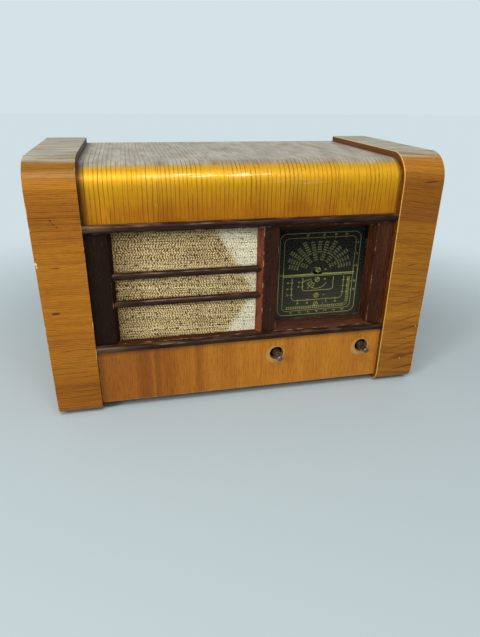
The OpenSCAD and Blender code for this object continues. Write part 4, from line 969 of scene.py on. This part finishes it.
def number(bm, text, centre, height, turn=0.0):
    """Plain figures, centred at a place given in millimetres from the dial's middle."""
    curve = bpy.data.curves.new("figures", "FONT")
    curve.body = text
    curve.size = height * MM * 1.35
    curve.align_x = "CENTER"
    curve.align_y = "CENTER"
    curve.extrude = PRINT_THICK / 2
    curve.resolution_u = 2
    holder = bpy.data.objects.new("figures", curve)
    mesh = bpy.data.meshes.new_from_object(holder)
    place = Matrix.Translation((dial_centre.x + centre[0] * MM, print_y, dial_centre.z + centre[1] * MM))
    mesh.transform(place @ Matrix.Rotation(-math.radians(turn), 4, "Y") @ UPRIGHT)
    bm.from_mesh(mesh)
    bpy.data.meshes.remove(mesh)
    bpy.data.objects.remove(holder)
    bpy.data.curves.remove(curve)


def rounded_frame(bm, half_w, half_h, radius, width):
    for sx, sz, first in ((1, 1, 0), (-1, 1, 90), (-1, -1, 180), (1, -1, 270)):
        bow(bm, (sx * (half_w - radius), sz * (half_h - radius)), radius, first, first + 90, width)
    for s in (-1, 1):
        stroke(bm, (radius - half_w, s * half_h), (half_w - radius, s * half_h), width)
        stroke(bm, (s * half_w, radius - half_h), (s * half_w, half_h - radius), width)


def u_scale(bm, half_w, top, bottom, radius, width):
    for s in (-1, 1):
        stroke(bm, (s * half_w, top), (s * half_w, bottom + radius), width)
    stroke(bm, (radius - half_w, bottom), (half_w - radius, bottom), width)
    bow(bm, (radius - half_w, bottom + radius), radius, 180, 270, width)
    bow(bm, (half_w - radius, bottom + radius), radius, 270, 360, width)


def dial_print():
    bm = bmesh.new()
    rounded_frame(bm, 44.7, 46, 7.5, 0.42)
    rounded_frame(bm, 39.6, 41, 5, 0.36)
    for s in (0, 1.3):
        stroke(bm, (-40, -s), (41, -s), 0.3)
    for k, x in enumerate((-15, 3, 16, 28)):
        number(bm, str(20 + 10 * k), (x, 43.5), 2.4)
        stroke(bm, (x, 41), (x, 39.6), 0.4)
    for k, z in enumerate((34, 21, 8, -10, -20)):
        number(bm, str(6 + 3 * k), (42.2, z), 2.4)
        stroke(bm, (39.6, z), (38.2, z), 0.4)
    u_scale(bm, 29.5, -3, -29, 5, 0.38)
    u_scale(bm, 17.5, -3, -18, 3, 0.4)
    for z in (-8, -15, -22):
        for s in (-1, 1):
            stroke(bm, (s * 27.8, z), (s * 31.2, z), 0.4)
            number(bm, str(int(30 - z)), (s * 34.2, z), 1.9)
    for x in (-22, -11, 11, 22):
        stroke(bm, (x, -27.6), (x, -30.4), 0.4)
        number(bm, str(int(60 + x)), (x, -32.6), 1.9)
    for z in (-8, -13):
        stroke(bm, (-19, z), (-16, z), 0.4)
        number(bm, str(int(10 - z)), (-22, z), 1.7)
    for k in range(27):
        x = -34 + k * 2.5
        stroke(bm, (x, -36.6), (x, -38.6), 0.5)
        if k % 4 == 2:
            number(bm, str(20 + 5 * k), (x, -43.4), 1.9)
    for k in range(13):
        z = -33 + k * 2.3
        stroke(bm, (34.4, z), (36.4, z), 0.5)
    for reach in (0, 2.4):
        stroke(bm, (-36, -36.4 - reach), (31, -36.4 - reach), 0.26)
        stroke(bm, (34.2 + reach, -33), (34.2 + reach, -4), 0.26)
        bow(bm, (31, -33), 3.3 + reach, 270, 360, 0.26)
    for column in range(4):
        angle = 196 + column * 17
        for row in range(4 - column % 2):
            place = around((-1, -3), 8 + 2.4 * row, angle)
            number(bm, str(15 + column * 7 + row * 20), place, 1.5, angle - 180)
    for z in (5.4, -5.7, -24, -34.3):
        bow(bm, (-1, z), 2.5, 0, 360, 0.45)
        stroke(bm, (-2.6, z - 1.6), (0.6, z + 1.6), 0.6)
        number(bm, "%d" % (40 + z), (7.5, z), 1.8)
    bow(bm, (-1, -4), 12, 205, 335, 0.35)
    for column in range(13):
        angle = 12 + column * 13
        for row in range(9 - column % 2):
            x, z = around((0, 4), 13 + 2.75 * row, angle)
            x = x * 1.12 - 1
            if abs(x) < 35 and z < 37.5 and (row > 2 or column % 2):
                number(bm, str(1010 + (column * 1370 + row * 2130) % 8900), (x, z), 1.7, angle - 90)
    piece("dial_print", bm, print_finish("olive_print", (206, 208, 122)), body="cabinet")


dial_print()


def pointer():
    """Thin blade, tapered towards its ends, on a small hub."""
    low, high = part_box("dial_pointer")
    half_width, blade_thick = 0.5 * MM, 0.6 * MM
    hub, rim, hub_thick = 3.5 * MM, 3.6 * MM, 3 * MM
    bm = bmesh.new()
    block(bm, (low.x, low.y, dial_centre.z - half_width),
          (high.x, low.y + blade_thick, dial_centre.z + half_width))
    edges = [edge for edge in bm.edges if abs(edge.verts[0].co.x - edge.verts[1].co.x) > MM]
    bmesh.ops.subdivide_edges(bm, edges=edges, cuts=1)
    for vert in bm.verts:
        if abs(vert.co.x - dial_centre.x) > MM:
            vert.co.z = dial_centre.z + (vert.co.z - dial_centre.z) * 0.5
    turned(bm, [(0, 0), (hub, 0), (rim, 0.3 * MM), (rim, hub_thick - 0.2 * MM), (hub, hub_thick),
                (0, hub_thick)], (dial_centre.x, low.y, dial_centre.z))
    piece("pointer_blade", bm, print_finish("pointer_cream", (158, 166, 98), 1.0), "dial_pointer")


pointer()


# Spindles


def inner_spindle(node, disc_radius, disc_back, disc_thick):
    """Steel rod with a chamfered tip, a groove behind the knob's seat and a disc inside."""
    low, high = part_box(node)
    length = high.y - low.y
    r, chamfer, slope = 3 * MM, 0.7 * MM, 0.1 * MM
    groove, groove_end, waist = 8.2 * MM, 9 * MM, 2.6 * MM
    disc_front = length - disc_back
    disc_end = disc_front + disc_thick
    bm = bmesh.new()
    turned(bm, [(0, 0), (r - chamfer, 0), (r, chamfer), (r, groove), (waist, groove + slope),
                (waist, groove_end - slope), (r, groove_end), (r, disc_front), (disc_radius, disc_front),
                (disc_radius, disc_end), (r, disc_end), (r, length), (0, length)],
           (middle_of(node).x, low.y, middle_of(node).z))
    piece(node + "_turned", bm, dull_steel, node)


inner_spindle("volume_spindle", 12 * MM, 2 * MM, 1.999 * MM)
inner_spindle("wave_spindle", 8 * MM, 5.5 * MM, 1.5 * MM)


# The hollow outer spindles
for sleeve in ("tone_sleeve", "tuning_sleeve"):
    eased_copy(sleeve, "_turned", dull_steel, 0.25)

# The rest of the cabinet and the works, each node as a clean copy with its sharp edges eased

for finish_of, easing, nodes_of in (
        (plywood, 0.4, ("base_board", "cover_cleats", "front_cleat", "speaker_board")),
        (felt, 0.3, ("felt_feet",)),
        (tray_enamel(), 0.2, ("dial_tray",)),
        (steel, 0.2, ("speaker_bolts", "chassis_bolts")),
        (steel, 0.4, ("valve_caps",)),
        (chassis_steel, 0.3, ("chassis", "gang_bracket")),
        (basket_paint, 0.3, ("speaker_basket",)),
        (cone_paper, 0.1, ("speaker_cone", "cone_surround")),
        (core_iron, 0.6, ("speaker_magnet", "tone_volume_control")),
        (laminated, 0.3, ("output_transformer", "mains_transformer")),
        (waxed_paper, 0.8, ("transformer_windings",)),
        (aluminium, 0.2, ("gang_frame", "drive_drum")),
        (aluminium, 0.8, ("screening_cans", "smoothing_capacitor")),
        (brass, 0.2, ("tuning_bush",)),
        (paxolin, 0.2, ("wave_switch", "component_board", "rear_socket_strip", "aerial_coil")),
        (brown_moulding, 0.4, ("valve_sockets",)),
        (black_moulding, 0.6, ("valve_bases", "voltage_selector")),
        (rubber, 0.6, ("mains_grommet",)),
        (hardboard, 0.4, ("back_cover",))):
    for node_of in nodes_of:
        eased_copy(node_of, "_finished", finish_of, easing)

for kept_node, kept_finish in (("dial_lamps", clear_glass()), ("glass_clips", steel),
                               ("gang_stator", aluminium), ("gang_rotor", rotor_metal()),
                               ("drive_cord", cord_fibre)):
    dress(kept_node, kept_finish)


def eased_run(start, end, steps=7):
    """Points of a smooth S between two (radius, height) pairs."""
    return [(start[0] + (end[0] - start[0]) * (3 * t * t - 2 * t * t * t), start[1] + (end[1] - start[1]) * t)
            for t in (k / steps for k in range(1, steps + 1))]


def drum(radius, low, high):
    """The profile of a plain drum."""
    return [(0, low), (radius, low), (radius, high), (0, high)]


def valves():
    """Blown bulbs with a waist, a full body and a dome, over their electrodes and mica spacers."""
    glass, metals, spacers = bmesh.new(), bmesh.new(), bmesh.new()
    shoulder, body_end, dome_neck = 16 * MM, 30 * MM, 42 * MM
    plate_foot, plate_top, stem_top = 12 * MM, 32 * MM, 6 * MM
    spacer_thick, half_rod = 0.5 * MM, 0.5 * MM
    low, high = islands("valve_bases")[0]
    neck = (high.x - low.x) / 2 - 1 * MM
    for low, high in islands("valve_bulbs"):
        middle = (low + high) / 2
        foot = Vector((middle.x, middle.y, low.z))
        body, tall = (high.x - low.x) / 2, high.z - low.z
        dome = body * 0.55
        profile = [(0, 0), (neck, 0)] + eased_run((neck, 0), (body, shoulder)) + [(body, body_end)]
        profile += eased_run((body, body_end), (dome, dome_neck))
        profile += [around((0, tall - dome), dome, angle * 11.25) for angle in range(8)] + [(0, tall)]
        turned(glass, profile, foot, "Z")
        turned(metals, drum(body * 0.52, plate_foot, plate_top), foot, "Z", steps=24)
        turned(metals, [(0, 0), (neck * 0.6, 0), (neck * 0.4, stem_top), (0, stem_top + 1 * MM)],
               foot, "Z", steps=24)
        for place in (plate_foot - 1.2 * MM, plate_top + 0.6 * MM):
            turned(spacers, drum(body * 0.76, place, place + spacer_thick), foot, "Z", steps=24)
        for turn in range(4):
            x, y = around(foot, body * 0.62, 90 * turn + math.degrees(0.6))
            block(metals, (x - half_rod, y - half_rod, foot.z + stem_top),
                  (x + half_rod, y + half_rod, foot.z + plate_top + 2 * MM))
    piece("valve_bulbs_blown", glass, clear_glass(), "valve_bulbs")
    piece("valve_electrodes", metals, electrode, body="cabinet")
    piece("valve_spacers", spacers, mica, body="cabinet")


valves()


def slotted_screws():
    """Round-headed wood screws, each slot turned its own way."""
    bm = bmesh.new()
    for count, (low, high) in enumerate(islands("cover_screws")):
        middle = (low + high) / 2
        head, length = (high.x - low.x) / 2, high.y - low.y
        shank, head_height, point = head * 0.5, 1.4 * MM, 3 * MM
        slot_half, slot_deep = head * 0.13, 0.5 * MM
        one = bmesh.new()
        profile = [(0, 0), (shank * 0.3, 0.2 * MM), (shank, point), (shank, length - head_height),
                   (head, length - head_height), (head, length - head_height * 0.7),
                   (head * 0.72, length - 0.2 * MM), (head * 0.5, length), (0, length)]
        turned(one, profile, (0, 0, 0), steps=32)
        tidy(one)
        turn = Matrix.Rotation(math.radians(37 * count), 4, "Y")
        for side in (-1, 1):
            cut(one, (side * slot_half, 0, 0), (1, 0, 0))
        groove = [face for face in one.faces if abs(face.calc_center_median().x) < slot_half
                  and abs(face.calc_center_median().z) < head * 0.72 and face.normal.y > 0.3]
        push(one, groove, (0, -slot_deep, 0), moved=True)
        one.transform(Matrix.Translation((middle.x, low.y, middle.z)) @ turn)
        mesh = mesh_of("screw", one)
        bm.from_mesh(mesh)
        bpy.data.meshes.remove(mesh)
    piece("cover_screws_slotted", bm, steel, "cover_screws")


slotted_screws()


def socket_sleeves():
    """Plated sleeves in the mouths of the rear sockets."""
    bm = bmesh.new()
    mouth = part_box("rear_socket_strip")[1].y
    wall, flange, sunk, lip = 0.4 * MM, 0.9 * MM, 2 * MM, 0.3 * MM
    for mount in frame["record"]["mounts"]:
        if mount["kind"] == "bore":
            r = mount["dims"]["r_mm"] * MM
            turned(bm, [(r, -sunk), (r + wall, -sunk), (r + wall, 0), (r + flange, 0),
                        (r + flange, lip), (r + 0.1 * MM, lip), (r, 0.1 * MM)],
                   (mount["pos_m"][0], mouth, mount["pos_m"][2]), ring=True, steps=32)
    piece("socket_sleeves", bm, steel, body="cabinet")


socket_sleeves()


# Stage, light and camera


def stage():
    """Painted floor that turns into the wall's colour away from the radio."""
    bm = bmesh.new()
    reach, near, far_off = 6, 0.3, 0.8
    bmesh.ops.create_grid(bm, x_segments=1, y_segments=1, size=reach)
    mesh = mesh_of("floor", bm)
    finish = Finish("floor_paint")
    paint = finish.level("BsdfDiffuse", inputs={"Color": (188, 202, 206)})
    wall = finish.level("Emission", inputs={"Color": (208, 223, 228)})
    x, y, _ = finish.place
    far = step(maths("SQRT", x * x + (y + 0.05) * (y + 0.05)), near, far_off)
    seen = finish.out(finish.node("LightPath"), "Is Camera Ray")
    both = finish.level("MixShader", inputs={0: far * seen, 1: paint, 2: wall})
    finish.node("OutputMaterial", inputs={"Surface": both})
    mesh.materials.append(finish.material)
    bring("floor", mesh)


def world(ambient, backdrop):
    """Even white light from all round, behind a pale wall that the camera and mirrors see."""
    studio = bpy.data.worlds.new("studio")
    bpy.context.scene.world = studio
    nodes = Nodes(studio)
    path = nodes.node("LightPath")
    mirrored = maths("MAXIMUM", nodes.out(path, "Is Glossy Ray"), nodes.out(path, "Is Transmission Ray"))
    seen = maths("MAXIMUM", nodes.out(path, "Is Camera Ray"), mirrored)
    light = nodes.level("Background", inputs={"Color": (255, 255, 255), "Strength": ambient})
    wall = nodes.level("Background", inputs={"Color": backdrop})
    either = nodes.level("MixShader", inputs={0: seen, 1: light, 2: wall})
    nodes.node("OutputWorld", inputs={"Surface": either})


def softbox(name, place, aim, size, power):
    lamp = bpy.data.lights.new(name, "AREA")
    lamp.shape = "RECTANGLE"
    lamp.size, lamp.size_y = size
    lamp.energy = power
    holder = bring(name, lamp)
    direction = Vector(aim) - Vector(place)
    holder.matrix_world = Matrix.Translation(place) @ direction.to_track_quat("-Z", "Y").to_matrix().to_4x4()


def camera():
    """Lens, place and aim fitted to the photo: pitch down, yaw to the right and a slight roll."""
    pitch, yaw, roll = 0.433, 0.222, -0.015
    focal_pixels, picture_height, sensor = 502.2, 637, 36
    eye = Vector((-113.2, -553.7, 317.4)) * MM
    forward = Vector((math.sin(yaw) * math.cos(pitch), math.cos(yaw) * math.cos(pitch), -math.sin(pitch)))
    right = Vector((math.cos(yaw), -math.sin(yaw), 0))
    down = forward.cross(right)
    across = math.cos(roll) * right + math.sin(roll) * down
    below = math.cos(roll) * down - math.sin(roll) * right
    lens = bpy.data.cameras.new("camera")
    lens.sensor_fit = "VERTICAL"
    lens.sensor_height = sensor
    lens.lens = focal_pixels / picture_height * sensor
    lens.clip_start = 0.01
    holder = bring("camera", lens)
    turn = Matrix((across, -below, -forward)).transposed().to_4x4()
    holder.matrix_world = Matrix.Translation(eye) @ turn
    bpy.context.scene.camera = holder


stage()
world(0.4, (211, 227, 232))
softbox("window", (-1.3, -1.05, 0.9), (0, 0, 0.12), (0.4, 0.5), 14)
softbox("skylight", (-0.12, -0.95, 1.35), (0, 0, 0.15), (1.1, 0.4), 12)
camera()
bpy.context.scene.view_settings.view_transform = "Standard"
